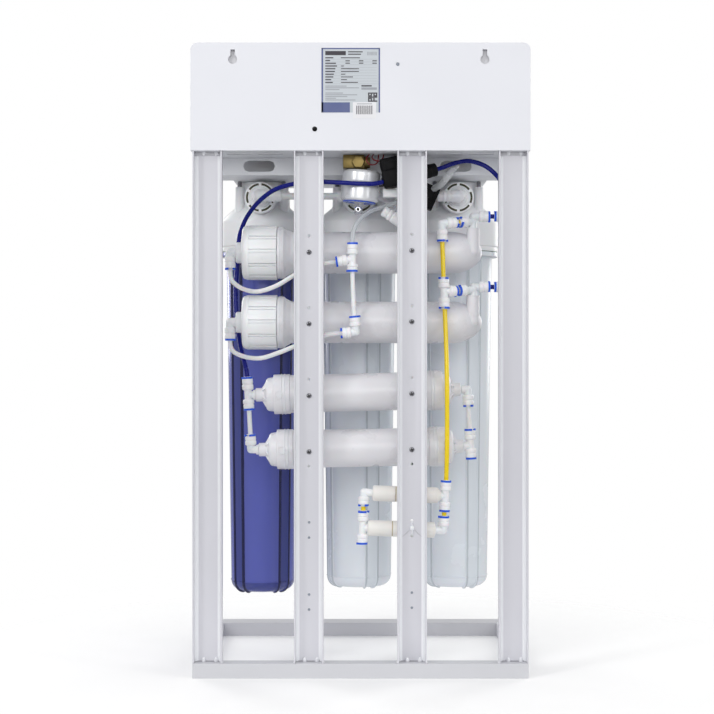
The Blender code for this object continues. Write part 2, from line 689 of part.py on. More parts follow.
def build_permeate_joiner():
    """A tee and an elbow below it, joined by a tube, that gather both caps' tubes."""
    y = -163.5
    piece = stack("permeate_joiner", mm(-11, y, 589.9), mm(-11, y, 550),
                  [(15.2, SOCKET), (12.6, NECK), (9.3, SOCKET)])
    join(
        piece,
        stack("joiner_arm", mm(-32.3, y, 565.3), mm(-11, y, 568.3), [(14.5, SOCKET), (6.8, NECK * 0.92)]),
        rod("joiner_tube", mm(-11.2, y, 558), mm(-8.0, y, 482), TUBE),
        stack("joiner_elbow", mm(-8.3, y, 489.5), mm(-6.4, y, 468.9), [(13.3, SOCKET), (7.2, NECK)]),
        stack("joiner_lower_arm", mm(-25.8, y, 467.3), mm(-6.3, y, 468.7),
              [(13.0, SOCKET), (6.2, NECK * 0.92)]),
        ball("joiner_corner", mm(-6.4, y, 468.7)),
    )
    return finish(piece, WHITE_PLASTIC)


def build_drain_line():
    """The yellow line: from both front ports, down past the inline filters, to the restrictors."""
    top, inline, low, port = -157.5, -165.5, -161.5, -137.5
    piece = stack("drain_line", mm(111.5, top, 618.0), mm(115.6, top, 501), [
        (8.0, NECK), (15.4, SOCKET), (52.0, TUBE), (13.3, SOCKET), (13.3, NECK), (13.6, SOCKET),
    ])
    descent = [
        (115.5, top, 506), (116.6, top - 1.4, 480), (117.8, top - 5.4, 440), (118.4, inline, 400),
        (118.6, inline, 350), (118.4, inline, 306), (117.9, inline + 2.2, 280), (117.3, low, 256),
    ]
    tube = to_mesh(hose("drain_tube", [mm(*point) for point in descent], TUBE, YELLOW))
    join(
        piece,
        ball("drain_corner", mm(111.5, top, 618.3)),
        stack("drain_arm_upper", mm(111.5, top, 618.3), mm(155.5, port, 621.8), [
            (7.2, NECK * 0.92), (15.5, SOCKET), (7.0, TUBE), (10.0, SOCKET), (8.4, NECK * 0.92),
        ]),
        ball("drain_stem_corner_upper", mm(155.5, port, 621.8)),
        rod("drain_stem_upper", mm(155.5, port, 613.9), mm(155.5, port, 622), NECK),
        stack("drain_arm_tee", mm(115.0, top, 524.7), mm(156.0, port, 526.6), [
            (7.2, NECK * 0.92), (11.0, SOCKET), (6.0, TUBE), (10.5, SOCKET), (10.6, NECK * 0.92),
        ]),
        ball("drain_stem_corner_lower", mm(156.0, port, 527.0)),
        rod("drain_stem_lower", mm(156.0, port, 520.5), mm(156.0, port, 527.2), NECK),
        tube,
        stack("drain_manifold", mm(117.2, low, 264.0), mm(113.5, low, 196), [
            (12.4, SOCKET), (15.4, NECK), (12.0, SOCKET), (9.0, TUBE), (12.5, SOCKET), (6.0, NECK),
        ]),
        rod("drain_branch_upper", mm(116.0, low, 243.8), mm(111.1, low, 244.2), NECK * 0.92),
        ball("drain_foot_corner", mm(113.5, low, 197.0)),
        rod("drain_branch_lower", mm(113.5, low, 197.0), mm(103.6, low, 197.5), NECK * 0.92),
    )
    return finish(piece, YELLOW)


def build_restrictor_manifold():
    """The left side of the restrictors: an elbow above, a tee below, and an open end."""
    y = -161.5
    piece = stack("restrictor_manifold_left", mm(4.8, y, 249.0), mm(2.4, y, 179.6), [
        (5.0, NECK), (14.0, SOCKET), (6.0, TUBE), (14.5, SOCKET), (17.0, NECK), (12.9, SOCKET),
    ])
    join(
        piece,
        ball("manifold_corner", mm(4.8, y, 249.3)),
        rod("manifold_branch_upper", mm(4.8, y, 249.3), mm(16.0, y, 248.3), NECK * 0.92),
        rod("manifold_branch_lower", mm(3.2, y, 200.9), mm(9.0, y, 200.6), NECK * 0.92),
    )
    return finish(piece, WHITE_PLASTIC)


def build_inline_runs():
    """The pipes at both ends of the two inline filters."""
    y = -132.5
    left = stack("inline_run_left", mm(-156.9, y, 405.5), mm(-151.6, y, 306.3), [
        (16.9, SOCKET), (12.6, NECK), (13.8, SOCKET), (36.6, TUBE), (13.8, SOCKET), (5.4, NECK),
    ])
    join(
        left,
        rod("inline_left_branch", mm(-155.4, y, 382.1), mm(-145.7, y, 382.1), NECK * 0.92),
        ball("inline_left_corner", mm(-151.8, y, 306.8)),
        rod("inline_left_foot", mm(-151.2, y, 306.4), mm(-141.3, y, 306.2), NECK * 0.92),
    )
    finish(left, WHITE_PLASTIC)

    right = stack("inline_run_right", mm(148.7, y, 389.4), mm(153.9, y, 294.4), [
        (7.2, NECK), (15.1, SOCKET), (33.6, TUBE), (13.6, SOCKET), (11.9, NECK), (13.8, SOCKET),
    ])
    join(
        right,
        ball("inline_right_corner", mm(148.7, y, 389.6)),
        rod("inline_right_branch", mm(148.7, y, 389.6), mm(139.5, y, 389.5), NECK * 0.92),
        rod("inline_right_foot", mm(152.6, y, 312.2), mm(143.2, y, 311.4), NECK * 1.1),
    )
    finish(right, WHITE_PLASTIC)


def build_membrane_feed_run():
    """The pipe at the right that joins the rear ports of both membrane housings."""
    x, y, stem_x = 203, -113.5, 158
    piece = stack("membrane_feed_run", mm(x, y, 644.8), mm(x, y, 532.7), [
        (9.5, SOCKET), (12.0, NECK), (13.0, SOCKET), (54.0, TUBE), (13.5, SOCKET), (10.0, NECK),
    ])
    for tag, z, foot in (("upper", 631.4, 613.9), ("lower", 532.7, 520.5)):
        join(
            piece,
            stack(f"feed_arm_{tag}", mm(x, y, z), mm(stem_x, y, z), [
                (5.0, NECK * 0.92), (9.0, SOCKET), (9.0, TUBE), (14.5, SOCKET), (7.5, NECK * 0.92),
            ]),
            ball(f"feed_corner_{tag}", mm(stem_x, y, z + 0.3)),
            rod(f"feed_stem_{tag}", mm(stem_x, y, foot), mm(stem_x, y, z + 0.5), NECK),
        )
    join(piece, ball("feed_outer_corner", mm(x, y, 532.4)))
    return finish(piece, WHITE_PLASTIC)


def build_hoses():
    """The flexible tubes, each held by a fitting at both ends."""
    routes = {
        "feed_tube": (BLUE_TUBE, [
            (-156.9, -132.5, 405.9), (-157.4, -132.5, 413.0), (-161.0, -127.5, 425.5),
            (-164.6, -119.5, 437.5),
            (-168.4, -111.0, 452.0), (-173.6, -101.0, 484.0), (-175.8, -97.5, 522.1),
            (-174.4, -95.5, 553.2),
            (-171.4, -95.5, 598.9), (-166.4, -100.5, 616.9), (-159.0, -107.5, 631.6),
            (-146.0, -120.5, 647.1),
            (-130.3, -132.5, 659.7), (-114.5, -144.5, 667.5), (-93.2, -156.5, 672.1),
            (-73.3, -164.5, 673.6),
            (-52.6, -168.0, 674.0), (-30.8, -169.0, 673.1), (-10.3, -169.3, 671.9), (6.0, -169.0, 671.4),
            (16.0, -166.2, 671.4), (24.2, -163.4, 672.9), (30.8, -161.1, 674.7),
        ]),
        "cap_tube_1": (WHITE_PLASTIC, [
            (-181.6, -122.5, 557.3), (-181.5, -122.6, 550.0), (-179.6, -124.3, 542.5),
            (-174.6, -127.0, 536.5),
            (-161.8, -132.5, 528.8), (-141.8, -140.5, 525.3), (-116.4, -150.5, 532.5),
            (-92.7, -158.5, 545.9),
            (-69.2, -162.5, 557.2), (-50.5, -163.5, 562.6), (-40.0, -163.5, 564.2), (-32.7, -163.5, 565.2),
        ]),
        "cap_tube_2": (WHITE_PLASTIC, [
            (-181.6, -122.5, 458.7), (-181.5, -122.6, 451.5), (-178.6, -124.5, 444.6),
            (-171.9, -127.5, 439.2),
            (-156.2, -132.5, 434.0), (-136.4, -139.5, 433.3), (-113.8, -148.5, 440.2),
            (-92.8, -156.5, 448.4),
            (-69.2, -161.5, 457.3), (-47.3, -163.0, 464.6), (-34.0, -163.5, 466.7), (-26.2, -163.5, 467.3),
        ]),
        "outlet_tube": (CLEAR_TUBE, [
            (-11.0, -163.5, 590.3), (-11.0, -163.3, 597.0), (-9.9, -160.3, 606.0), (-7.0, -155.5, 614.5),
            (-2.0, -149.5, 622.5), (7.5, -142.5, 632.0), (17.5, -136.0, 638.0), (29.5, -132.0, 642.5),
            (48.0, -127.5, 649.0), (62.0, -125.5, 658.5), (70.0, -125.0, 675.0), (73.0, -125.0, 700.0),
            (73.0, -125.0, 730.0),
        ]),
        "membrane_feed_tube": (BLUE_TUBE, [
            (104.8, -136.4, 694.6), (111.2, -134.3, 696.3), (124.0, -134.2, 701.3), (138.0, -138.5, 705.0),
            (153.0, -142.5, 705.3), (171.8, -146.5, 698.4), (187.0, -147.5, 686.0), (196.5, -142.5, 673.5),
            (201.3, -131.0, 664.0), (203.0, -119.5, 658.0), (203.0, -113.8, 651.5), (203.0, -113.5, 645.2),
        ]),
    }
    for name, (colour, points) in routes.items():
        hose(name, [mm(*point) for point in points], TUBE, colour)


# ---------------------------------------------------------------- valves, switch and pump
def build_solenoid_valve():
    """The valve body on a rising line, its coil block around the left part and a sleeve at the right."""
    left, right = mm(31.2, -161.0, 674.8), mm(104.2, -136.6, 694.4)
    valve = stack("solenoid_valve", left, right, [
        (10.6, SOCKET), (9.0, NECK), (36.0, 9 * MM), (4.0, 7 * MM), (19.9, 9.7 * MM),
    ])
    half = mm(15, 18, 19)
    centre = mm(46, -146, 690)
    coil = block("valve_coil", centre - half, centre + half, -math.radians(13))
    edge = coil.modifiers.new("edges", "BEVEL")
    edge.width = 2 * MM
    edge.segments = 1
    return finish(join(valve, coil), BLACK, 0.5)


def build_pump_feed_line():
    """From the third head's port: elbow, low-pressure switch, and the thick tube up through the shelf."""
    half = mm(14, 12, 20)
    centre = mm(97, -86, 661)
    piece = block("pump_feed_line", centre - half, centre + half, math.radians(6))
    edge = piece.modifiers.new("edges", "BEVEL")
    edge.width = 2 * MM
    edge.segments = 1
    corner = elbow_in_port("pump_feed", piece, 2, -1)
    arm = [(7, 8 * MM), (17, 9.2 * MM), (10, 7 * MM)]
    join(piece, stack("pump_feed_arm", corner, corner - mm(40, 0, 0), arm))
    route = [
        (100, -90, 668), (106, -100, 673), (112, -112, 676), (120, -121.5, 684), (128, -123.0, 695),
        (133, -116, 701.3), (134, -106, 702.2), (134, -96, 702.6), (134, -88.5, 706.5), (134, -86, 715),
        (134, -86, 730),
    ]
    tube = to_mesh(hose("pump_feed_tube", [mm(*point) for point in route], WIDE_TUBE, BLACK))
    return finish(join(piece, tube), BLACK, 0.5)


def build_pressure_can():
    """A small closed can, leaning a little, with a hex nozzle below that has a cross hole."""
    low, high = mm(-3.2, -138, 631), mm(2.0, -138, 693)
    outline = [
        (0, 0), (0, 6.2), (17, 6.2), (17, 9.5), (18.8, 9.5), (18.8, 24.2), (21, 26.2), (40, 26.2),
        (41.5, 25.0),
        (44, 25.0), (45.5, 26.2), (58, 26.2), (61, 23.5), (62.1, 18), (62.1, 0),
    ]
    can = turned("pressure_can", [(z * MM, r * MM) for z, r in outline], low, high - low, MEDIUM_SIDES)
    hole = rod("can_nozzle_hole", mm(-2.5, -146, 639.5), mm(-2.5, -138, 639.5), 2.4 * MM)
    return finish(cut(can, hole), CHROME, 0.15, 0.3)


def build_brass_manifold():
    """The brass block between the can and the shelf, with a side stub."""
    top = 713.7
    block_low, block_high = mm(-24, -149, 695.5), mm(5, -127, top)
    piece = block("brass_manifold", block_low, block_high)
    join(
        piece,
        rod("brass_stub", mm(-8, -138, 704), mm(13.5, -138, 704), 7.2 * MM, 12),
        rod("brass_neck", mm(1.5, -138, 694.3), mm(1.5, -138, 700), 8 * MM, 12),
    )
    return finish(piece, BRASS, 0.3, 1.0)


def build_pump():
    """The booster pump on the shelf, lying across the unit, with its rotor inside."""
    y, z = 10 * MM, SHELF_TOP + 52 * MM
    left, right, radius, wall, shaft_hole = -80 * MM, 30 * MM, 44 * MM, 3 * MM, 7 * MM
    bore = radius - wall
    motor = turned("pump_motor", [
        (left, 0), (left, radius), (right, radius), (right, shaft_hole), (right - wall, shaft_hole),
        (right - wall, bore), (left + wall, bore), (left + wall, 0),
    ], (0, y, z), (1, 0, 0), MEDIUM_SIDES)
    foot_low = (left + 12 * MM, y - 38 * MM, SHELF_TOP + GAP)
    foot = block("pump_foot", foot_low, (right - 12 * MM, y + 38 * MM, SHELF_TOP + 4 * MM))
    join(motor, foot)
    for tag, x in (("left", left + 25 * MM), ("right", right - 35 * MM)):
        low = (x, y - 20 * MM, SHELF_TOP + 2 * MM)
        join(motor, block(f"pump_saddle_{tag}", low, (x + 10 * MM, y + 20 * MM, z - radius + 4.5 * MM)))
    inside = [(left + wall, 0), (left + wall, bore), (right - wall, bore), (right - wall, 0)]
    cut(motor, turned("pump_motor_inside", inside, (0, y, z), (1, 0, 0), MEDIUM_SIDES))
    finish(motor, MOTOR_GREY, 0.35, 0.7)

    start = right + GAP
    chamber = 22 * MM
    head = turned("pump_head", [
        (start + 26 * MM, 0), (start + 26 * MM, chamber), (start + 4 * MM, chamber),
        (start + 4 * MM, shaft_hole), (start, shaft_hole), (start, 42 * MM), (start + 30 * MM, 42 * MM),
        (start + 34 * MM, 37 * MM), (start + 62 * MM, 35 * MM), (start + 62 * MM, 0),
    ], (0, y, z), (1, 0, 0), MEDIUM_SIDES)
    for side in (-1, 1):
        near, far = (start + 50 * MM, y + side * 30 * MM, z), (start + 50 * MM, y + side * 56 * MM, z)
        join(head, rod(f"pump_port_{side}", near, far, 8.5 * MM, 12))
    finish(head, BLACK, 0.5)

    shaft, core = 5 * MM, 28 * MM
    rotor = turned("pump_rotor", [
        (left + 6 * MM, 0), (left + 6 * MM, shaft), (left + 22 * MM, shaft), (left + 22 * MM, core),
        (right - 26 * MM, core), (right - 26 * MM, shaft), (start + 21 * MM, shaft), (start + 21 * MM, 0),
    ], (0, y, z), (1, 0, 0), 14)
    eccentric = start + 8 * MM, 4 * MM
    join(rotor, rod("pump_eccentric", (eccentric[0], y, z + eccentric[1]),
                    (eccentric[0] + 10 * MM, y, z + eccentric[1]), 12 * MM, 14))
    finish(rotor, MOTOR_GREY, 0.3, 0.9)


def build_transformer():
    supply = block("transformer", (-0.205, -0.060, SHELF_TOP + GAP), (-0.130, 0.060, SHELF_TOP + 0.062))
    edge = supply.modifiers.new("edges", "BEVEL")
    edge.width = 3 * MM
    edge.segments = 1
    return finish(supply, BLACK, 0.5)


build_stand()
build_shelf()
build_tray()
build_hood()
build_panel()
build_filters()
for number, z in enumerate(MEMBRANE_ZS, start=1):
    build_membrane_housing(number, z)
    build_membrane_cap(number, z)
    build_membrane_element(number, z)
build_cap_elbow(1, -181.6 * MM, 585.7 * MM, 557.7 * MM)
build_cap_elbow(2, -181.6 * MM, 488.5 * MM, 459.1 * MM)
build_inline_filter(1, mm(-145.3, -132.5, 382.1), mm(139.1, -132.5, 389.4))
build_inline_filter(2, mm(-140.9, -132.5, 306.1), mm(142.8, -132.5, 311.2))
build_restrictor(1, mm(16.5, -161.5, 248.1), mm(110.6, -161.5, 244.8), 31.2 * MM)
build_restrictor(2, mm(9.4, -161.5, 200.5), mm(103.0, -161.5, 197.6), 33.5 * MM)
build_permeate_joiner()
build_drain_line()
build_restrictor_manifold()
build_inline_runs()
build_membrane_feed_run()
build_hoses()
build_solenoid_valve()
build_pump_feed_line()
build_pressure_can()
build_brass_manifold()
build_pump()
build_transformer()
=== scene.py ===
"""Looks of the reverse osmosis unit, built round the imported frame.

Shapes are laid out in millimetres in the frame's own axes and scaled to metres when they are made. -Y is the
service side, with the tubes and the keyholed panel; the filters hang on the +Y side.
"""

import math

import bmesh
import bpy
from mathutils import Matrix, Vector


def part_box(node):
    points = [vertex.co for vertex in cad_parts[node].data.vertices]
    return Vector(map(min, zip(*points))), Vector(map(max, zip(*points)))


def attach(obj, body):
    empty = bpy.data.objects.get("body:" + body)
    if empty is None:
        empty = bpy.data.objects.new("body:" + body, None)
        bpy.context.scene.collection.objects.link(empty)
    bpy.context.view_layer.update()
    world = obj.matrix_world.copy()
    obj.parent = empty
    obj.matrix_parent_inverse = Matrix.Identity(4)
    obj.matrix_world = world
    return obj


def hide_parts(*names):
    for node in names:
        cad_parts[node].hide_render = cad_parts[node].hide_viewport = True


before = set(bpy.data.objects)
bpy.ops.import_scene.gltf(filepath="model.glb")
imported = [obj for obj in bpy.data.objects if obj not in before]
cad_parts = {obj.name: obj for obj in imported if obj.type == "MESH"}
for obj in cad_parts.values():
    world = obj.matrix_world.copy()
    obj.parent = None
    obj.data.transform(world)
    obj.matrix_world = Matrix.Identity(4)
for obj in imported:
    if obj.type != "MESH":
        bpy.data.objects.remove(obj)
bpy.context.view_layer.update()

MM = 0.001
ACROSS, DEEP, UP = Vector((1, 0, 0)), Vector((0, 1, 0)), Vector((0, 0, 1))

SOCKET, NECK = 7.8, 5.2  # outer radii of a push-fit socket and of a fitting between its sockets
TUBE, WIDE_TUBE = 3.175, 4.75  # radii of the two sizes of tube
SMOOTH_ANGLE = 38  # degrees; an edge bent more than this stays sharp
CORNER_STEPS = 3  # pieces of each rounded corner of an outline
SHEET, STILE_CORNER = 2, 5  # thickness of the stand's sheet and its inside corner radius
PORT_HEIGHT, LINK_REACH = 662.5, 86.5  # the heads' port axis, and from a head's axis out to a link
# The Y at which the axes of each group of parts lie.
VESSEL_PLANE, INLINE_PLANE, PERMEATE_PLANE, RESTRICTOR_PLANE = -122.5, -132.5, -163.5, -161.5
VESSEL_HEIGHTS = {1: 580, 2: 483}  # the axes of the membrane housings
INLINE_ENDS = {
    1: ((-145.3, INLINE_PLANE, 382.1), (139.1, INLINE_PLANE, 389.4)),
    2: ((-140.9, INLINE_PLANE, 306.1), (142.8, INLINE_PLANE, 311.2)),
}

CAMERA_PLACE, CAMERA_LENS = (-0.0047, -2.4425, 0.4347), 83.9
WORLD_SEEN, WORLD_ABOVE, WORLD_BELOW = 1.0, 0.70, 0.36  # the surround's strength to the eye and as a light


def link_new(name, data):
    """A new object, linked into the scene."""
    made = bpy.data.objects.new(name, data)
    bpy.context.scene.collection.objects.link(made)
    return made


def set_inputs(node, **values):
    """Sets a node's inputs, by their names in small letters with underscores."""
    for name, value in values.items():
        node.inputs[name.replace("_", " ").title().replace("Ior", "IOR")].default_value = value
    return node


# ---------------------------------------------------------------- camera, light and floor
def make_camera():
    data = bpy.data.cameras.new("camera")
    data.lens = CAMERA_LENS
    data.sensor_width = 36
    camera = link_new("camera", data)
    camera.location = CAMERA_PLACE
    camera.rotation_euler = (math.pi / 2, 0, 0)
    bpy.context.scene.camera = camera


def make_world():
    """A white surround: full white behind the object, dimmer as a light and dimmest from below."""
    world = bpy.data.worlds.new("studio")
    bpy.context.scene.world = world
    world.use_nodes = True
    nodes, links = world.node_tree.nodes, world.node_tree.links
    place = nodes.new("ShaderNodeTexCoord")
    height = nodes.new("ShaderNodeSeparateXYZ")
    lighting = set_inputs(nodes.new("ShaderNodeMapRange"), from_min=-0.35, from_max=0.25,
                          to_min=WORLD_BELOW, to_max=WORLD_ABOVE)
    path = nodes.new("ShaderNodeLightPath")
    strength = set_inputs(nodes.new("ShaderNodeMix"), b=WORLD_SEEN)
    background = set_inputs(nodes["Background"], color=(1.0, 1.0, 1.0, 1))
    links.new(place.outputs["Generated"], height.inputs["Vector"])
    links.new(height.outputs["Z"], lighting.inputs["Value"])
    links.new(lighting.outputs["Result"], strength.inputs["A"])
    links.new(path.outputs["Is Camera Ray"], strength.inputs["Factor"])
    links.new(strength.outputs["Result"], background.inputs["Strength"])
    bpy.context.scene.view_settings.view_transform = "Standard"


def make_lights():
    """White panels of light, each turned to the object's middle."""
    target = Vector((0, 0, 0.52))
    for name, place, size, power in (
        ("key_left", (-1.6, -1.9, 1.5), (0.5, 1.2), 14),
        ("fill_right", (1.9, -1.6, 1.1), (0.4, 1.2), 7),
        ("front", (0, -3.4, 1.2), (2.2, 1.2), 22),
        ("top", (0, -0.4, 2.4), (1.4, 1.0), 5),
        ("behind_left", (-1.4, 1.7, 1.1), (0.8, 1.4), 12),
        ("behind_right", (1.5, 1.6, 1.0), (0.8, 1.4), 11),
    ):
        data = bpy.data.lights.new(name, "AREA")
        data.shape = "RECTANGLE"
        data.size, data.size_y = size
        data.energy = power
        light = link_new(name, data)
        light.location = place
        light.rotation_euler = (target - Vector(place)).to_track_quat("-Z", "Y").to_euler()


# ---------------------------------------------------------------- materials
def surface(name, colour, roughness=0.4, metallic=0.0, mottle=0.03, patch=30, spread=0.06, grain=1500,
            relief=0.04, **sockets):
    """A Principled material whose colour and gloss drift in patches, under a fine grain of bumps.

    patch and grain are in cells per metre, and relief is the bumps' height in mm.
    """
    made = bpy.data.materials.new(name)
    made.use_nodes = True
    nodes, links = made.node_tree.nodes, made.node_tree.links
    shader = set_inputs(nodes["Principled BSDF"], metallic=metallic, **sockets)
    place = nodes.new("ShaderNodeTexCoord")
    broad = set_inputs(nodes.new("ShaderNodeTexNoise"), scale=patch, detail=6)
    tone = nodes.new("ShaderNodeMix")
    tone.data_type = "RGBA"
    set_inputs(tone, a=(*[max(0, c * (1 - mottle)) for c in colour], 1),
               b=(*[min(1, c * (1 + mottle)) for c in colour], 1))
    gloss = set_inputs(nodes.new("ShaderNodeMapRange"), from_min=0.3, from_max=0.7,
                       to_min=max(0.02, roughness - spread), to_max=min(1.0, roughness + spread))
    fine = set_inputs(nodes.new("ShaderNodeTexNoise"), scale=grain, detail=3)
    bump = set_inputs(nodes.new("ShaderNodeBump"), strength=0.6, distance=relief * MM)
    links.new(place.outputs["Object"], broad.inputs["Vector"])
    links.new(broad.outputs["Fac"], tone.inputs["Factor"])
    links.new(tone.outputs["Result"], shader.inputs["Base Color"])
    links.new(broad.outputs["Fac"], gloss.inputs["Value"])
    links.new(gloss.outputs["Result"], shader.inputs["Roughness"])
    links.new(place.outputs["Object"], fine.inputs["Vector"])
    links.new(fine.outputs["Fac"], bump.inputs["Height"])
    links.new(bump.outputs["Normal"], shader.inputs["Normal"])
    return made


def banded(name, colour, other, bands, axis="Z", **settings):
    """A surface with fine bands across an axis, such as wound thread or turning marks."""
    made = surface(name, colour, **settings)
    nodes, links = made.node_tree.nodes, made.node_tree.links
    wave = set_inputs(nodes.new("ShaderNodeTexWave"), scale=bands, distortion=1.5, detail=2)
    wave.bands_direction = axis
    links.new(nodes["Texture Coordinate"].outputs["Object"], wave.inputs["Vector"])
    blend = nodes.new("ShaderNodeMix")
    blend.data_type = "RGBA"
    set_inputs(blend, b=(*other, 1))
    shader = nodes["Principled BSDF"]
    links.new(nodes["Mix"].outputs["Result"], blend.inputs["A"])
    links.new(wave.outputs["Fac"], blend.inputs["Factor"])
    links.new(blend.outputs["Result"], shader.inputs["Base Color"])
    links.new(wave.outputs["Fac"], nodes["Bump"].inputs["Height"])
    return made


def powder(name, colour, roughness=0.42, mottle=0.02, patch=14, **sockets):
    """The stand's powder coat, with its slight orange peel."""
    return surface(name, colour, roughness, mottle=mottle, patch=patch, grain=420, relief=0.05, **sockets)


def clear_blue(name, colour, through):
    """The blue bowl's moulding, which lets some light through."""
    return surface(name, colour, 0.13, mottle=0.05, patch=10, spread=0.04, grain=700, relief=0.01,
                   transmission_weight=through, ior=1.5)


def hose(name, colour, roughness, mottle, relief, **sockets):
    """Extruded tube."""
    return surface(name, colour, roughness, mottle=mottle, patch=60, grain=900, relief=relief, **sockets)


def printed(name, colour, mottle=0.02):
    """A sheet of the label."""
    return surface(name, colour, 0.4, mottle=mottle, patch=60, grain=800, relief=0.004)


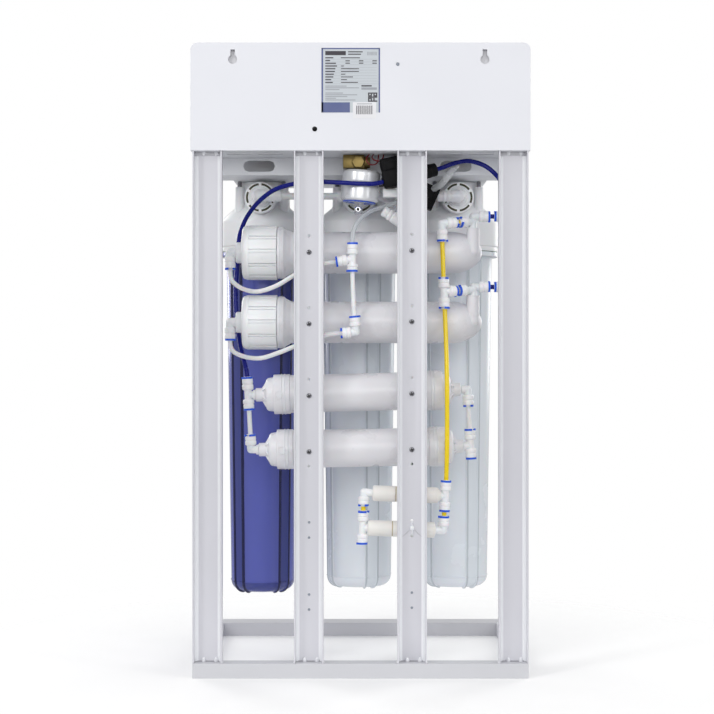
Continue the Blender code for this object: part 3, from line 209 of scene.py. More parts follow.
def make_materials():
    """Every finish, by a short name of its own."""
    return {
        "paint": powder("powder_coat", (0.775, 0.785, 0.835), 0.38, 0.015, coat_weight=0.15,
                        coat_roughness=0.25),
        # darker copy of the white coat for the stiles and side rails: painted shade, as in the stiles'
        # channels
        "paint_stile": powder("powder_coat_stiles_shaded", (0.68, 0.68, 0.725), 0.38, 0.015, coat_weight=0.15,
                              coat_roughness=0.25),
        # lighter copy of the white coat for the stiles' inside corners: painted highlight
        "paint_bright": powder("powder_coat_corners_lit", (0.86, 0.87, 0.90), 0.38, 0.015),
        # darker copy of the white coat for the tabs under the shelf: painted shade
        "paint_tab": powder("powder_coat_tabs_shaded", (0.58, 0.58, 0.61)),
        # dark grey strips at the stiles' feet: painted shadow
        "shadow": surface("weld_gap_shadow", (0.30, 0.30, 0.33), 0.6, mottle=0.1, patch=200, grain=900),
        # darker copy of the white coat: painted shade on the far base rail, the hood's seam lines and the
        # creases by the cable tie
        "paint_low": powder("powder_coat_shade", (0.54, 0.54, 0.57)),
        # lighter copy of the white coat for the shelf and tray: painted light where they sit in shade
        "paint_dull": powder("powder_coat_inside_lit", (0.84, 0.855, 0.885), 0.45, patch=20),
        "plastic": surface("moulded_white", (0.88, 0.89, 0.905), 0.33, mottle=0.02, patch=45, grain=2600,
                           relief=0.012, subsurface_weight=0.08, subsurface_scale=0.004),
        "fitting": surface("fitting_white", (0.88, 0.88, 0.90), 0.28, mottle=0.02, patch=80, grain=3000,
                           relief=0.01, subsurface_weight=0.12, subsurface_scale=0.003),
        "bowl_white": surface("bowl_white", (0.76, 0.80, 0.845), 0.27, mottle=0.015, patch=12, spread=0.008,
                              grain=900, relief=0.015, subsurface_weight=0.1, subsurface_scale=0.006),
        # darker finishes for the bowls' ribs, the zones between each pair of ribs and the blue bowl's foot:
        # painted shade
        "rib_shade_blue": clear_blue("bowl_blue_rib_shade", (0.006, 0.008, 0.07), 0.2),
        "rib_shade_white": surface("bowl_white_rib_shade", (0.52, 0.56, 0.60), 0.24, mottle=0.03, patch=12, grain=900,
                             relief=0.015),
        "deep_shade_blue": clear_blue("bowl_blue_deep_shade", (0.075, 0.095, 0.38), 0.45),
        "deep_shade_white": surface("bowl_white_deep_shade", (0.72, 0.77, 0.815), 0.27, mottle=0.015, patch=12,
                              spread=0.008, grain=900, relief=0.015),
        "vessel": surface("moulded_vessel", (0.79, 0.785, 0.815), 0.3, mottle=0.02, patch=30, grain=2200,
                          relief=0.012, subsurface_weight=0.06, subsurface_scale=0.004),
        # darker copy of the white coat for the near base rail: painted shade
        "paint_rail": powder("powder_coat_near_rail_shaded", (0.58, 0.585, 0.615)),
        "plug": surface("hole_plug", (0.26, 0.29, 0.34), 0.5, mottle=0.1, patch=300, grain=2000, relief=0.03),
        "gasket": surface("gasket_green", (0.05, 0.10, 0.06), 0.5, mottle=0.2, patch=90, relief=0.03),
        "bowl_blue": clear_blue("bowl_blue", (0.19, 0.225, 0.74), 0.55),
        "cream": surface("moulded_cream", (0.84, 0.82, 0.785), 0.45, mottle=0.03, patch=90, grain=2200,
                         relief=0.03, subsurface_weight=0.05, subsurface_scale=0.003),
        "seam": surface("seam_ring", (0.50, 0.42, 0.27), 0.5, mottle=0.1, patch=200),
        "clip": surface("clip_blue", (0.012, 0.10, 0.70), 0.3, mottle=0.08, patch=150, grain=3000,
                        relief=0.01),
        "hose_blue": hose("hose_blue", (0.002, 0.006, 0.19), 0.25, 0.08, 0.02, specular_ior_level=0.3),
        "hose_white": hose("hose_white", (0.86, 0.87, 0.88), 0.25, 0.02, 0.015, subsurface_weight=0.3,
                           subsurface_scale=0.004),
        "hose_clear": hose("hose_clear", (0.80, 0.83, 0.86), 0.18, 0.03, 0.015, transmission_weight=0.5,
                           ior=1.4),
        "hose_grey": hose("hose_grey", (0.84, 0.86, 0.875), 0.25, 0.04, 0.02, transmission_weight=0.3,
                          ior=1.4),
        "yellow": hose("hose_yellow", (0.90, 0.66, 0.006), 0.24, 0.06, 0.02, coat_weight=0.2,
                       coat_roughness=0.15),
        "black": surface("moulded_black", (0.0030, 0.0030, 0.0040), 0.55, mottle=0.3, patch=120, spread=0.1,
                         grain=2600, relief=0.06, specular_ior_level=0.16),
        # rubber for the bowl seals; its black also paints the shade in the screw recesses and the can
        # nozzle's bore
        "rubber": surface("rubber", (0.02, 0.02, 0.021), 0.62, mottle=0.2, patch=100, grain=2000,
                          relief=0.05),
        "red": surface("moulded_red", (0.60, 0.02, 0.02), 0.3, mottle=0.08, patch=150, grain=2600,
                       relief=0.02),
        "wire_red": surface("wire_red", (0.22, 0.006, 0.014), 0.35, mottle=0.1, patch=200, relief=0.02),
        "brass": banded("brass", (0.30, 0.225, 0.09), (0.22, 0.16, 0.055), 300, "X", roughness=0.42,
                        metallic=1.0, mottle=0.08, patch=120, relief=0.01),
        "chrome": surface("chrome", (0.78, 0.78, 0.80), 0.12, 1.0, patch=200, grain=1200, relief=0.01),
        "zinc": surface("zinc_screw", (0.30, 0.30, 0.32), 0.22, 1.0, mottle=0.2, patch=600, grain=2000,
                        relief=0.02),
        "can": surface("can_lacquer", (0.80, 0.815, 0.84), 0.24, 0.25, mottle=0.02, patch=25, grain=500,
                       relief=0.01, coat_weight=0.35, coat_roughness=0.16),
        "steel": banded("motor_steel", (0.45, 0.46, 0.48), (0.36, 0.37, 0.39), 500, "X", roughness=0.34,
                        metallic=0.9, mottle=0.06, patch=60, relief=0.01),
        "olive": surface("port_slot", (0.05, 0.048, 0.02), 0.6, mottle=0.35, patch=180, grain=900,
                         relief=0.05),
        "wound": banded("wound_thread", (0.88, 0.86, 0.81), (0.66, 0.63, 0.57), 160, "DIAGONAL",
                        roughness=0.85, mottle=0.05, patch=60, relief=0.5),
        "label_band": printed("label_band", (0.085, 0.11, 0.27), 0.05),
        "sticker": printed("label_sticker", (0.80, 0.80, 0.83)),
        "label": printed("label_sheet", (0.56, 0.60, 0.64)),
        "ink": surface("label_ink", (0.035, 0.03, 0.04), 0.45, mottle=0.1, patch=120, grain=900,
                       relief=0.004),
        "ink_pale": surface("label_ink_pale", (0.34, 0.36, 0.40), 0.45, mottle=0.1, patch=400, grain=900,
                            relief=0.004),
        # lighter copy of the white coat for the weld beads: painted highlight
        "bead": surface("weld_bead", (0.86, 0.87, 0.90), 0.35, mottle=0.05, patch=300, grain=900, relief=0.1),
        "floor": surface("floor", (0.97, 0.97, 0.972), 0.8, mottle=0.004, patch=3, grain=60, relief=0.1),
    }


# ---------------------------------------------------------------- shape tools (all in mm)
def rounded(points, reach, ring=False):
    """The outline with its corners rounded off over up to reach on both sides."""
    found, count = [], len(points)
    for i, point in enumerate(points):
        here = Vector(point)
        back = Vector(points[i - 1]) - here
        ahead = Vector(points[(i + 1) % count]) - here
        take = min(reach, back.length * 0.45, ahead.length * 0.45)
        if (not ring and i in (0, count - 1)) or take < 0.01:
            found.append(tuple(point))
            continue
        first, last = here + back.normalized() * take, here + ahead.normalized() * take
        for k in range(CORNER_STEPS + 1):
            t = k / CORNER_STEPS
            found.append(tuple(first * (1 - t) ** 2 + here * (2 * t * (1 - t)) + last * t**2))
    return found


def ring_outline(low, high, inner, outer, soft):
    """A closed square outline with rounded corners, from low to high along the axis."""
    return rounded([(low, inner), (low, outer), (high, outer), (high, inner)], soft, ring=True)


def axes_of(start, direction):
    """A matrix with Z along direction and, for a level axis, Y upwards."""
    along = Vector(direction).normalized()
    if abs(along.z) > 0.999:
        side, up = ACROSS, DEEP * (1 if along.z > 0 else -1)
    else:
        side = UP.cross(along).normalized()
        up = along.cross(side)
    turn = Matrix((side, up, along)).transposed().to_4x4()
    return Matrix.Translation(Vector(start)) @ turn


def even(count):
    """Angles in degrees, spread evenly round a circle."""
    return [360 * i / count for i in range(count)]


def arc(centre, radius, first, last, count):
    """Points along an arc of the outline's plane, angles in degrees from the along axis."""
    angles = [math.radians(first + (last - first) * i / count) for i in range(count + 1)]
    return [(centre[0] + radius * math.cos(a), centre[1] + radius * math.sin(a)) for a in angles]


def bezier(first, middle, last, count):
    """Points along a curve from first to last, bent towards the middle point."""
    first, middle, last = Vector(first), Vector(middle), Vector(last)
    steps = [i / count for i in range(count + 1)]
    return [first * (1 - t) ** 2 + middle * (2 * t * (1 - t)) + last * t**2 for t in steps]


class Shape:
    """Gathers turned, swept and boxed forms in one mesh, in mm."""

    def __init__(self):
        self.mesh = bmesh.new()

    def lathe(self, outline, start, direction=UP, sides=48, ring=False, angles=None, shift=None, tint=None):
        """Turns an outline of (along, radius) round an axis, or a closed ring of one.

        angles lists the section angles in degrees. At an angle and an outline point's number, shift gives
        the (along, radius) to add and tint the finish's number.
        """
        matrix = axes_of(start, direction)
        angles = angles or even(sides)
        rows = []
        for number, (along, radius) in enumerate(outline):
            if radius < 0.001:
                rows.append([self.mesh.verts.new(matrix @ Vector((0, 0, along)))])
                continue
            row = []
            for angle in angles:
                more_along, more_radius = shift(angle, number) if shift else (0, 0)
                a, r = math.radians(angle), radius + more_radius
                row.append(self.mesh.verts.new(
                    matrix @ Vector((r * math.cos(a), r * math.sin(a), along + more_along))))
            rows.append(row)
        pairs = list(zip(rows, rows[1:])) + ([(rows[-1], rows[0])] if ring else [])
        for row, (one, other) in enumerate(pairs):
            count = max(len(one), len(other))
            for i in range(count if count > 1 else 0):
                j = (i + 1) % count
                corners = [one[i % len(one)], one[j % len(one)], other[j % len(other)], other[i % len(other)]]
                face = self.mesh.faces.new(list(dict.fromkeys(corners)))
                if tint:
                    face.material_index = tint(angles[i], row)

    def ring(self, low, high, inner, outer, soft, start, direction=UP, sides=48):
        """A ring with rounded edges, from low to high along an axis."""
        self.lathe(ring_outline(low, high, inner, outer, soft), start, direction, sides, ring=True)

    def tube(self, points, radius, sides=20):
        """Sweeps a circle, whose radius may be a list, along points, with closed ends."""
        points = [Vector(p) for p in points]
        radii = radius if isinstance(radius, (list, tuple)) else [radius] * len(points)
        rows, side = [], None
        for i, point in enumerate(points):
            along = (points[min(i + 1, len(points) - 1)] - points[max(i - 1, 0)]).normalized()
            if side is None:
                side = along.orthogonal().normalized()
            side = (side - along * side.dot(along)).normalized()
            up = along.cross(side)
            round_axis = [side * math.cos(math.radians(a)) + up * math.sin(math.radians(a))
                          for a in even(sides)]
            rows.append([self.mesh.verts.new(point + outward * radii[i]) for outward in round_axis])
        for one, other in zip(rows, rows[1:]):
            for i in range(sides):
                j = (i + 1) % sides
                self.mesh.faces.new([one[i], one[j], other[j], other[i]])
        self.mesh.faces.new(rows[0])
        self.mesh.faces.new(rows[-1])

    def block(self, low, high, bevel=0.6, turn=None, segments=2):
        """A box with rounded edges, turned about its centre."""
        low, high = Vector(low), Vector(high)
        size = Matrix.Diagonal((*(high - low), 1))
        matrix = Matrix.Translation((low + high) / 2) @ (turn or Matrix()) @ size
        made = bmesh.ops.create_cube(self.mesh, size=1.0, matrix=matrix)["verts"]
        edges = list(dict.fromkeys(edge for vert in made for edge in vert.link_edges))
        if bevel:
            bmesh.ops.bevel(self.mesh, geom=edges, offset=bevel, segments=segments, affect="EDGES",
                            profile=0.5)

    def arc_bar(self, start, direction, inner, outer, thickness, first, last, steps=28):
        """A bar bent round an axis: a sector of a flat ring."""
        matrix = axes_of(start, direction)
        rows = []
        for i in range(steps + 1):
            a = math.radians(first + (last - first) * i / steps)
            rows.append([
                self.mesh.verts.new(matrix @ Vector((r * math.cos(a), r * math.sin(a), along)))
                for r, along in ((inner, 0), (outer, 0), (outer, thickness), (inner, thickness))
            ])
        for one, other in zip(rows, rows[1:]):
            for i in range(4):
                j = (i + 1) % 4
                self.mesh.faces.new([one[i], one[j], other[j], other[i]])
        self.mesh.faces.new(rows[0])
        self.mesh.faces.new(rows[-1])

    def prism(self, outline, low, high, matrix):
        """A flat outline given depth from low to high along the matrix's Z."""
        bottom = [self.mesh.verts.new(matrix @ Vector((x, y, low))) for x, y in outline]
        top = [self.mesh.verts.new(matrix @ Vector((x, y, high))) for x, y in outline]
        self.mesh.faces.new(bottom)
        self.mesh.faces.new(top)
        for i in range(len(outline)):
            j = (i + 1) % len(outline)
            self.mesh.faces.new([bottom[i], bottom[j], top[j], top[i]])

    def make(self, name, paint, slot, body="root", replaces=()):
        """The finished piece, riding on a body."""
        bmesh.ops.recalc_face_normals(self.mesh, faces=self.mesh.faces)
        bmesh.ops.scale(self.mesh, vec=(MM, MM, MM), verts=self.mesh.verts)
        data = bpy.data.meshes.new(name)
        self.mesh.to_mesh(data)
        self.mesh.free()
        settle(link_new(name, data), paint, slot, body, replaces)


def settle(piece, paint, slot, body="root", replaces=()):
    """Gives a piece its finish, its body and the CAD nodes that it stands for."""
    for each in paint if isinstance(paint, (list, tuple)) else [paint]:
        piece.data.materials.append(PAINTS[each])
    if piece.type == "MESH":
        piece.data.shade_smooth()
        piece.data.set_sharp_from_angle(angle=math.radians(SMOOTH_ANGLE))
    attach(piece, body)
    if replaces:
        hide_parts(*replaces)


def in_mm(node):
    """A CAD node's lowest and highest corners, in mm."""
    low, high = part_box(node)
    return low / MM, high / MM


def middle_of(node):
    low, high = in_mm(node)
    return (low + high) / 2


def bolt_places(node, height):
    """The places of a head's four bolts, round the middle of a node on the head's axis."""
    centre = middle_of(node)
    return [(centre.x + x, centre.y + y, height) for x in (-32, 32) for y in (-30, 30)]


def web_places(heights, depth):
    """Places down the middle of the stiles' webs, depth in from the far face."""
    for node, rows in heights.items():
        low, high = in_mm(node)
        for z in rows:
            yield ((low.x + high.x) / 2, high.y - depth, z)


# ---------------------------------------------------------------- sheet metal
def refined(node, paint, edge):
    """The CAD node's own shape with its edges softened, as a separate piece that stands for it."""
    shape = bmesh.new()
    shape.from_mesh(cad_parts[node].data)
    bmesh.ops.remove_doubles(shape, verts=shape.verts, dist=0.00001)
    bmesh.ops.dissolve_limit(shape, angle_limit=math.radians(1), verts=shape.verts, edges=shape.edges)
    data = bpy.data.meshes.new(f"{node}_finished")
    shape.to_mesh(data)
    shape.free()
    piece = link_new(f"{node}_finished", data)
    settle(piece, paint, "white_paint", replaces=[node])
    soft = piece.modifiers.new("edges", "BEVEL")
    soft.width = edge * MM
    soft.segments = 2
    soft.limit_method = "ANGLE"
    soft.angle_limit = math.radians(40)


def weld_bead(shape, start, end):
    """A rippled bead of weld between two points."""
    radius, ripple = 0.9, 0.25
    start, end = Vector(start), Vector(end)
    count = max(6, int((end - start).length / 0.9))
    points = [start.lerp(end, i / count) for i in range(count + 1)]
    ends = [min(1.0, 0.35 + 0.4 * min(i, count - i)) for i in range(count + 1)]
    shape.tube(points, [radius * e + ripple * math.sin(2.3 * i) * e for i, e in enumerate(ends)], 10)


def screw_head(metal, dark, place, direction, radius):
    """A pan-head screw with a cross recess, drawn as a black raised cross: painted shade."""
    metal.lathe(rounded([(-4, 0), (-4, 1.6), (0, 1.6), (0, radius), (0.9, radius), (2.0, radius * 0.62),
                         (2.2, 0)], 0.5), place, direction, 24)
    matrix = axes_of(place, direction)
    for angle in (20, 110):
        turn = matrix @ Matrix.Rotation(math.radians(angle), 4, "Z") @ Matrix.Translation((0, 0, 1.75))
        long, wide = radius * 0.68, radius * 0.2
        dark.prism([(-long, -wide), (long, -wide), (long, wide), (-long, wide)], 0, 0.5, turn)


STILES = ("stile_outer_left", "stile_inner_left", "stile_inner_right", "stile_outer_right")
CLIP_SCREWS = {
    "stile_inner_left": (577.4, 479.9, 382.0, 305.6),
    "stile_inner_right": (579.6, 482.8, 384.7, 308.6),
}
PLUGGED_HOLES = {"stile_inner_left": (209.5, 188.6, 111.1, 90.7), "stile_inner_right": (113.8, 93.2)}


def round_stile_corners():
    """The rounded inside corners where each stile's web meets its two flanges, in a lighter copy of the coat:
    a painted highlight along each bend.
    """
    radius = STILE_CORNER
    corners = Shape()
    upright = Matrix.Identity(4)
    for node in STILES:
        low, high = in_mm(node)
        web = high.y - SHEET
        for corner, side in ((low.x + SHEET, 1), (high.x - SHEET, -1)):
            curve = [(corner + side * radius * (1 - math.cos(math.radians(t))),
                      web - radius * (1 - math.sin(math.radians(t)))) for t in range(0, 91, 10)]
            outline = [(corner - side * 0.2, web - radius), *curve, (corner + side * radius, web + 0.2),
                       (corner - side * 0.2, web + 0.2)]
            corners.prism(outline, low.z + 0.3, in_mm("equipment_shelf")[0].z - 6, upright)
    corners.make("stile_corners", "paint_bright", "white_paint")


def dress_sheet_metal():
    # The stiles and side rails take the darker copy of the coat, which paints in shade.
    for node in (*STILES, "base_rail_left", "base_rail_right"):
        refined(node, "paint_stile", 0.7)
    for node, paint, edge in (
        # Both end rails take darker copies of the white coat: painted shade.
        ("base_rail_rear", "paint_rail", 1.5), ("base_rail_front", "paint_low", 0.7),
        # The shelf and tray take a lighter copy of the coat, which paints in light.
        ("equipment_shelf", "paint_dull", 0.3), ("hanging_tray", "paint_dull", 0.4),
        ("top_hood", "paint", 0.6), ("back_panel", "paint", 0.5),
    ):
        refined(node, paint, edge)

    beads, tabs, gaps = Shape(), Shape(), Shape()
    shelf_low = in_mm("equipment_shelf")[0].z
    for node in STILES:
        low, high = in_mm(node)
        middle, web = (low.x + high.x) / 2, high.y - SHEET
        for place in (-6, 11):
            for end, up in ((low.z, 1), (shelf_low, -1)):
                x = middle + place
                blob = [(x, web, end + up * 0.2), (x, web - 1.0, end + up * 1.4),
                        (x, web - 1.2, end + up * 3.6), (x, web, end + up * 5.2)]
                beads.tube(blob, [2.6, 2.6, 2.2, 1.2], 18)
        # A dark strip along the foot of each web: painted shadow there.
        gaps.block((low.x + 2.4, web - 0.3, low.z + 0.3), (high.x - 2.4, web + 0.2, low.z + 1.0), 0.1)
        for x in (low.x, high.x):
            weld_bead(beads, (x, low.y + 3, low.z), (x, high.y - 3, low.z))
        # Tabs under the shelf, in a darker copy of the coat that paints the shade there.
        tabs.block((low.x + 2.2, web - 1.3, shelf_low - 5.0), (high.x - 2.2, web - 0.05, shelf_low - 0.2),
                   0.3)
    for node in ("base_rail_left", "base_rail_right"):
        low, high = in_mm(node)
        for y in (low.y, high.y):
            weld_bead(beads, (low.x + 1, y, high.z), (high.x - 1, y, high.z))
    tabs.make("weld_tabs", "paint_tab", "white_paint")
    gaps.make("weld_gaps", "shadow", "white_paint")
    # The beads take a lighter copy of the coat, which paints a highlight on them.
    beads.make("weld_beads", "bead", "white_paint")
    round_stile_corners()

    metal, dark = Shape(), Shape()
    for place in web_places(CLIP_SCREWS, SHEET):
        screw_head(metal, dark, place, -DEEP, 3.5)
    plugs = Shape()
    plug = rounded([(-1.0, 0), (-1.0, 1.8), (0, 1.8), (0.2, 1.2), (0.2, 0)], 0.2)
    for place in web_places(PLUGGED_HOLES, 1.4):
        plugs.lathe(plug, place, -DEEP, 20)
    plugs.make("hole_plugs", "plug", "white_paint")
    tray_top = in_mm("hanging_tray")[0].z + SHEET
    for number in (1, 2, 3):
        for place in bolt_places(f"vent_button_{number}", tray_top):
            screw_head(metal, dark, place, UP, 4.2)
    metal.make("screws", "zinc", "white_paint")
    # The recesses are black: painted shade in each cross.
    dark.make("screw_recess_shades", "rubber", "white_paint")


def dress_panel():
    """The blanking plugs, and a rating label whose rows of print are plain bars."""
    face = in_mm("back_panel")[0].y
    plug, pale_plug = Shape(), Shape()
    plug.lathe(rounded([(-3, 0), (-3, 3.0), (0, 3.0), (0, 3.4), (0.8, 3.2), (1.5, 2.0), (1.7, 0)], 0.3),
               (-61.9, face, 743.1), -DEEP, 32)
    pale_plug.lathe(rounded([(-2, 0), (-2, 2.3), (-0.3, 2.3), (0, 1.6), (0, 0)], 0.3),
                    (50.4, face, 830.7), -DEEP, 28)
    plug.make("panel_plug", "black", "black_plastic")
    pale_plug.make("panel_plug_small", "plug", "white_plastic")

    left, top, wide, tall = -52.8, 852.6, 79.2, 87.3
    first_row, row_pitch, small_row, small_pitch, cell, margin = 12.6, 3.7, 51, 2.35, 1.8, 5.2
    sheet, band, ink, pale, sticker = Shape(), Shape(), Shape(), Shape(), Shape()

    def patch(shape, x_low, x_high, z_low, z_high, lift=0.12):
        """A thin rectangle, placed across from the label's left and down from its top."""
        shape.block((left + x_low, face - 0.15 - lift, top - z_high),
                    (left + x_high, face - 0.05, top - z_low), 0)

    patch(sheet, 0, wide, 0, tall, 0.0)
    for x_low, x_high, z_low, z_high in ((0, wide, 0, 1.7), (0, 2.3, 0, tall), (wide - 1.9, wide, 0, tall),
                                         (0, 38.5, 73.6, tall)):
        patch(band, x_low, x_high, z_low, z_high, 0.1)
    patch(ink, 5.2, 33, 4.2, 9.8)
    for row, share in enumerate((0.9, 0.8)):
        patch(ink, 36, 36 + 22 * share, 4.6 + row * 3.2, 6.0 + row * 3.2)
    for i in range(8):
        patch(pale, 62 + i * 1.7, 62.9 + i * 1.7, 5.2, 10.0)
    for row, (name, value) in enumerate(((0.75, 0.95), (0.45, 0.0), (1.0, 0.0), (1.1, 0.15), (0.95, 0.9),
                                         (0.9, 0.9), (0.8, 0.22), (0.75, 0.6), (0.55, 0.3), (0.7, 0.85))):
        down = first_row + row * row_pitch
        patch(ink, margin, margin + 14.5 * name, down, down + 1.5)
        if value:
            patch(ink, 26.4, 26.4 + 27 * value, down + 0.2, down + 1.3)
        patch(pale, margin, wide - 4, down + 2.5, down + 2.75)
    for i in range(3):
        for down in (16.8, 20.0):
            patch(ink, 32.5 + i * 18.2, 38.5 + i * 18.2, down, down + 1.3)
    for row, share in enumerate((0.6, 0.95, 0.4, 0.0, 0.5, 0.9, 0.62, 0.3, 0.85)):
        down = small_row + row * small_pitch
        patch(pale, margin, margin + 48 * share, down, down + 1.2)
    patch(ink, 54, 68, 50.4, 52.2)
    patch(pale, 54, 75, 53.4, 56.6)
    for i in range(7):
        for j in range(7):
            corner = (i < 3 and j < 3) or (i > 3 and j < 3) or (i < 3 and j > 3)
            if (not (i % 4 == 1 and j % 4 == 1)) if corner else (i * 3 + j * 5 + i * j) % 3 == 0:
                patch(ink, 63 + i * cell, 64.7 + i * cell, 60.3 + j * cell, 62.0 + j * cell)
    patch(sticker, 42.6, 74.0, 73.4, 95.2, 0.16)
    patch(pale, 48, 68.5, 75.2, 76.2, 0.22)
    for i in range(24):
        thick = 0.3 + 0.4 * ((i * 7) % 3 == 0)
        patch(ink, 47 + i * 0.95, 47 + i * 0.95 + thick, 78, 89.7, 0.22)
    sheet.make("rating_label", "label", "white_paint")
    band.make("label_border", "label_band", "black_plastic")
    sticker.make("label_sticker", "sticker", "white_paint")
    ink.make("label_print", "ink", "black_plastic")
    pale.make("label_print_pale", "ink_pale", "black_plastic")


def build_keyhole_pockets():
    """Pale closed pockets behind the two keyholes, deep enough for a screw's head."""
    sheet, deep = 1.5, 5
    high = in_mm("back_panel")[1]
    hole_z = in_mm("top_hood")[0].z + 123.2
    pockets = Shape()
    for side in (-1, 1):
        x = side * 170.6 - 2.3
        left, right, bottom, top = x - 9, x + 9, hole_z - 9, hole_z + 17
        floor_y = high.y + deep
        pockets.block((left, floor_y, bottom), (right, floor_y + sheet, top), 0.3)
        for wall in (((left, high.y, bottom), (left + sheet, floor_y, top)),
                     ((right - sheet, high.y, bottom), (right, floor_y, top)),
                     ((left, high.y, bottom), (right, floor_y, bottom + sheet)),
                     ((left, high.y, top - sheet), (right, floor_y, top))):
            pockets.block(*wall, 0.2)
    pockets.make("keyhole_pockets", "sticker", "white_paint")


def dress_hood():
    """Screws that hold the hood to the shelf, and the folded seams down its far corners as thin strips in the
    darker coat: painted shade.
    """
    low, high = in_mm("top_hood")
    metal, dark, seams = Shape(), Shape(), Shape()
    for side in (-1, 1):
        x = low.x if side < 0 else high.x
        for y in (-150, 0, 150):
            screw_head(metal, dark, (x - side * 0.6, y, low.z + 9), ACROSS * side, 3.2)
        seam = x - side * 14
        # Each seam line is a thin strip in the darker coat: painted shade along the fold.
        seams.block((seam - 0.15, high.y - 0.4, low.z + 1), (seam + 0.15, high.y + 0.08, high.z - 10), 0)
    metal.make("hood_screws", "zinc", "white_paint")
    # The recesses are black: painted shade in each cross.
    dark.make("hood_screw_recess_shades", "rubber", "white_paint")
    seams.make("hood_seams", "paint_low", "white_paint")


# ---------------------------------------------------------------- filter housings
RIB_PAIR = {1: -45, 2: -67, 3: -62}  # each bowl stops at its own angle
QUARTERS = (0, 90, 180, 270)
RIB_APART = 11  # half the angle between the two ribs of a pair
RIB_SECTION = {-3.2: 0.0, -2.4: 0.8, -1.2: 1.7, 0.0: 1.9, 1.2: 1.7, 2.4: 0.8, 3.2: 0.0}


def apart(angle, other):
    """The smaller angle between two directions, in degrees."""
    return abs((angle - other + 180) % 360 - 180)


def ribbed_angles(pair):
    """Section angles and the height that a rib adds at each, close together across each rib."""
    found = {}
    centres = [pair + quarter + side for quarter in QUARTERS for side in (-RIB_APART, RIB_APART)]
    for angle in even(72):
        if all(apart(angle, centre) > 3.8 for centre in centres):
            found[angle] = 0.0
    for centre in centres:
        for offset, height in RIB_SECTION.items():
            found[(centre + offset) % 360] = height
    return dict(sorted(found.items()))


def build_bowl(number):
    """The ribbed bowl: wall, rounded foot, moulding line, collar with lugs, and the neck inside the head."""
    low, high = in_mm(f"filter_bowl_{number}")
    centre = middle_of(f"filter_bowl_{number}")
    axis = (centre.x, centre.y, 0)
    blue = number == 1
    bottom, neck_top, collar, collar_top, wall = low.z, high.z, 580.5, 587.3, 3.5
    foot, mouth, corner = 46, 53, 14
    foot_arc = [(z, r) for r, z in arc((foot - corner, bottom + corner), corner, -90, 0, 7)]
    inner_arc = [(z, r) for r, z in arc((foot - corner, bottom + corner), corner - wall, 0, -90, 7)]
    slope = (mouth - foot) / (collar - bottom - corner)

    def side(z):
        return foot + slope * (z - bottom - corner)

    seam = bottom + 15.2
    outer = [(bottom + 1.2, 0), (bottom + 1.2, 24), (bottom, 27), *foot_arc, (seam - 0.7, side(seam)),
             (seam - 0.3, side(seam) + 0.8), (seam + 0.3, side(seam) + 0.8), (seam + 0.7, side(seam))]
    outer += [(z, side(z)) for z in range(140, 570, 40)] + [(collar - 2, mouth), (collar - 0.5, mouth + 1.2)]
    ribbed = range(3, len(outer) - 1)
    neck = [(collar, 56.5), (neck_top, 56.5), (neck_top, 50), (collar, mouth - wall)]
    outline = outer + neck + inner_arc + [(bottom + wall, 0)]
    heights = ribbed_angles(RIB_PAIR[number])
    foot_rows = range(3, 3 + len(foot_arc))

    def shift(angle, row):
        height = heights.get(angle, 0.0)
        if row not in ribbed or not height:
            return 0, 0
        if row in foot_rows:
            turn = math.radians(90 * (row - 3) / (len(foot_arc) - 1))
            return -height * math.cos(turn) * 1.3, height * math.sin(turn)
        return 0, height

    def tint(angle, row):
        """1 on a rib, 2 between the two ribs of a pair and round the blue bowl's foot; both are darker
        finishes that paint in shade.
        """
        if row not in ribbed:
            return 0
        if heights[angle] > (0.5 if blue else 1.5):
            return 1
        if blue and row in foot_rows:
            return 2
        return 2 if any(apart(angle, RIB_PAIR[number] + quarter) < RIB_APART for quarter in QUARTERS) else 0

    bowl = Shape()
    bowl.lathe(outline, axis, angles=list(heights), shift=shift, tint=tint)
    ring = ring_outline(collar, collar_top, 52, 61.2, 1.2)

    def lug(angle, row):
        return (0, 0.8) if angle % 30 < 22 and ring[row][1] > 58 else (0, 0)

    bowl.lathe(ring, axis, ring=True, sides=180, shift=lug)
    pitch, turns, steps, thread_radius, thread_foot = 4, 4, 60, 56.4, 9.5
    thread = []
    for i in range(turns * steps + 1):
        angle = 2 * math.pi * i / steps
        thread.append((centre.x + thread_radius * math.cos(angle), centre.y + thread_radius * math.sin(angle),
                       collar + thread_foot + pitch * i / steps))
    bowl.tube(thread, 0.8, 10)
    # Ribs, the zones between the ribs of a pair and the blue bowl's foot are painted darker: painted shade.
    paints = ("bowl_blue", "rib_shade_blue", "deep_shade_blue") if blue else ("bowl_white", "rib_shade_white", "deep_shade_white")
    bowl.make(f"ribbed_bowl_{number}", paints, "blue_bowl" if blue else "white_plastic", f"bowl_{number}",
              [f"filter_bowl_{number}"])
    gasket = Shape()
    gasket.ring(neck_top - 0.2, neck_top + 0.6, 50.5, 56, 0.2, axis, sides=64)
    gasket.ring(587.1, 588.0, 57, 61.5, 0.3, axis, sides=96)
    gasket.make(f"bowl_gasket_{number}", "gasket", "seal_rubber", f"bowl_{number}")


PORT_GAPS = (-150, -90, -30, 30, 90, 150)


def port_angles():
    """Section angles of a port's face, doubled at each end of its six slots."""
    found = set(even(72))
    for gap in PORT_GAPS:
        for side in (-1, 1):
            edge = gap + side * 6
            found = {a for a in found if abs((a - edge + 180) % 360 - 180) > 1.5}
            found |= {(edge - 0.4) % 360, (edge + 0.4) % 360}
    return sorted(found)


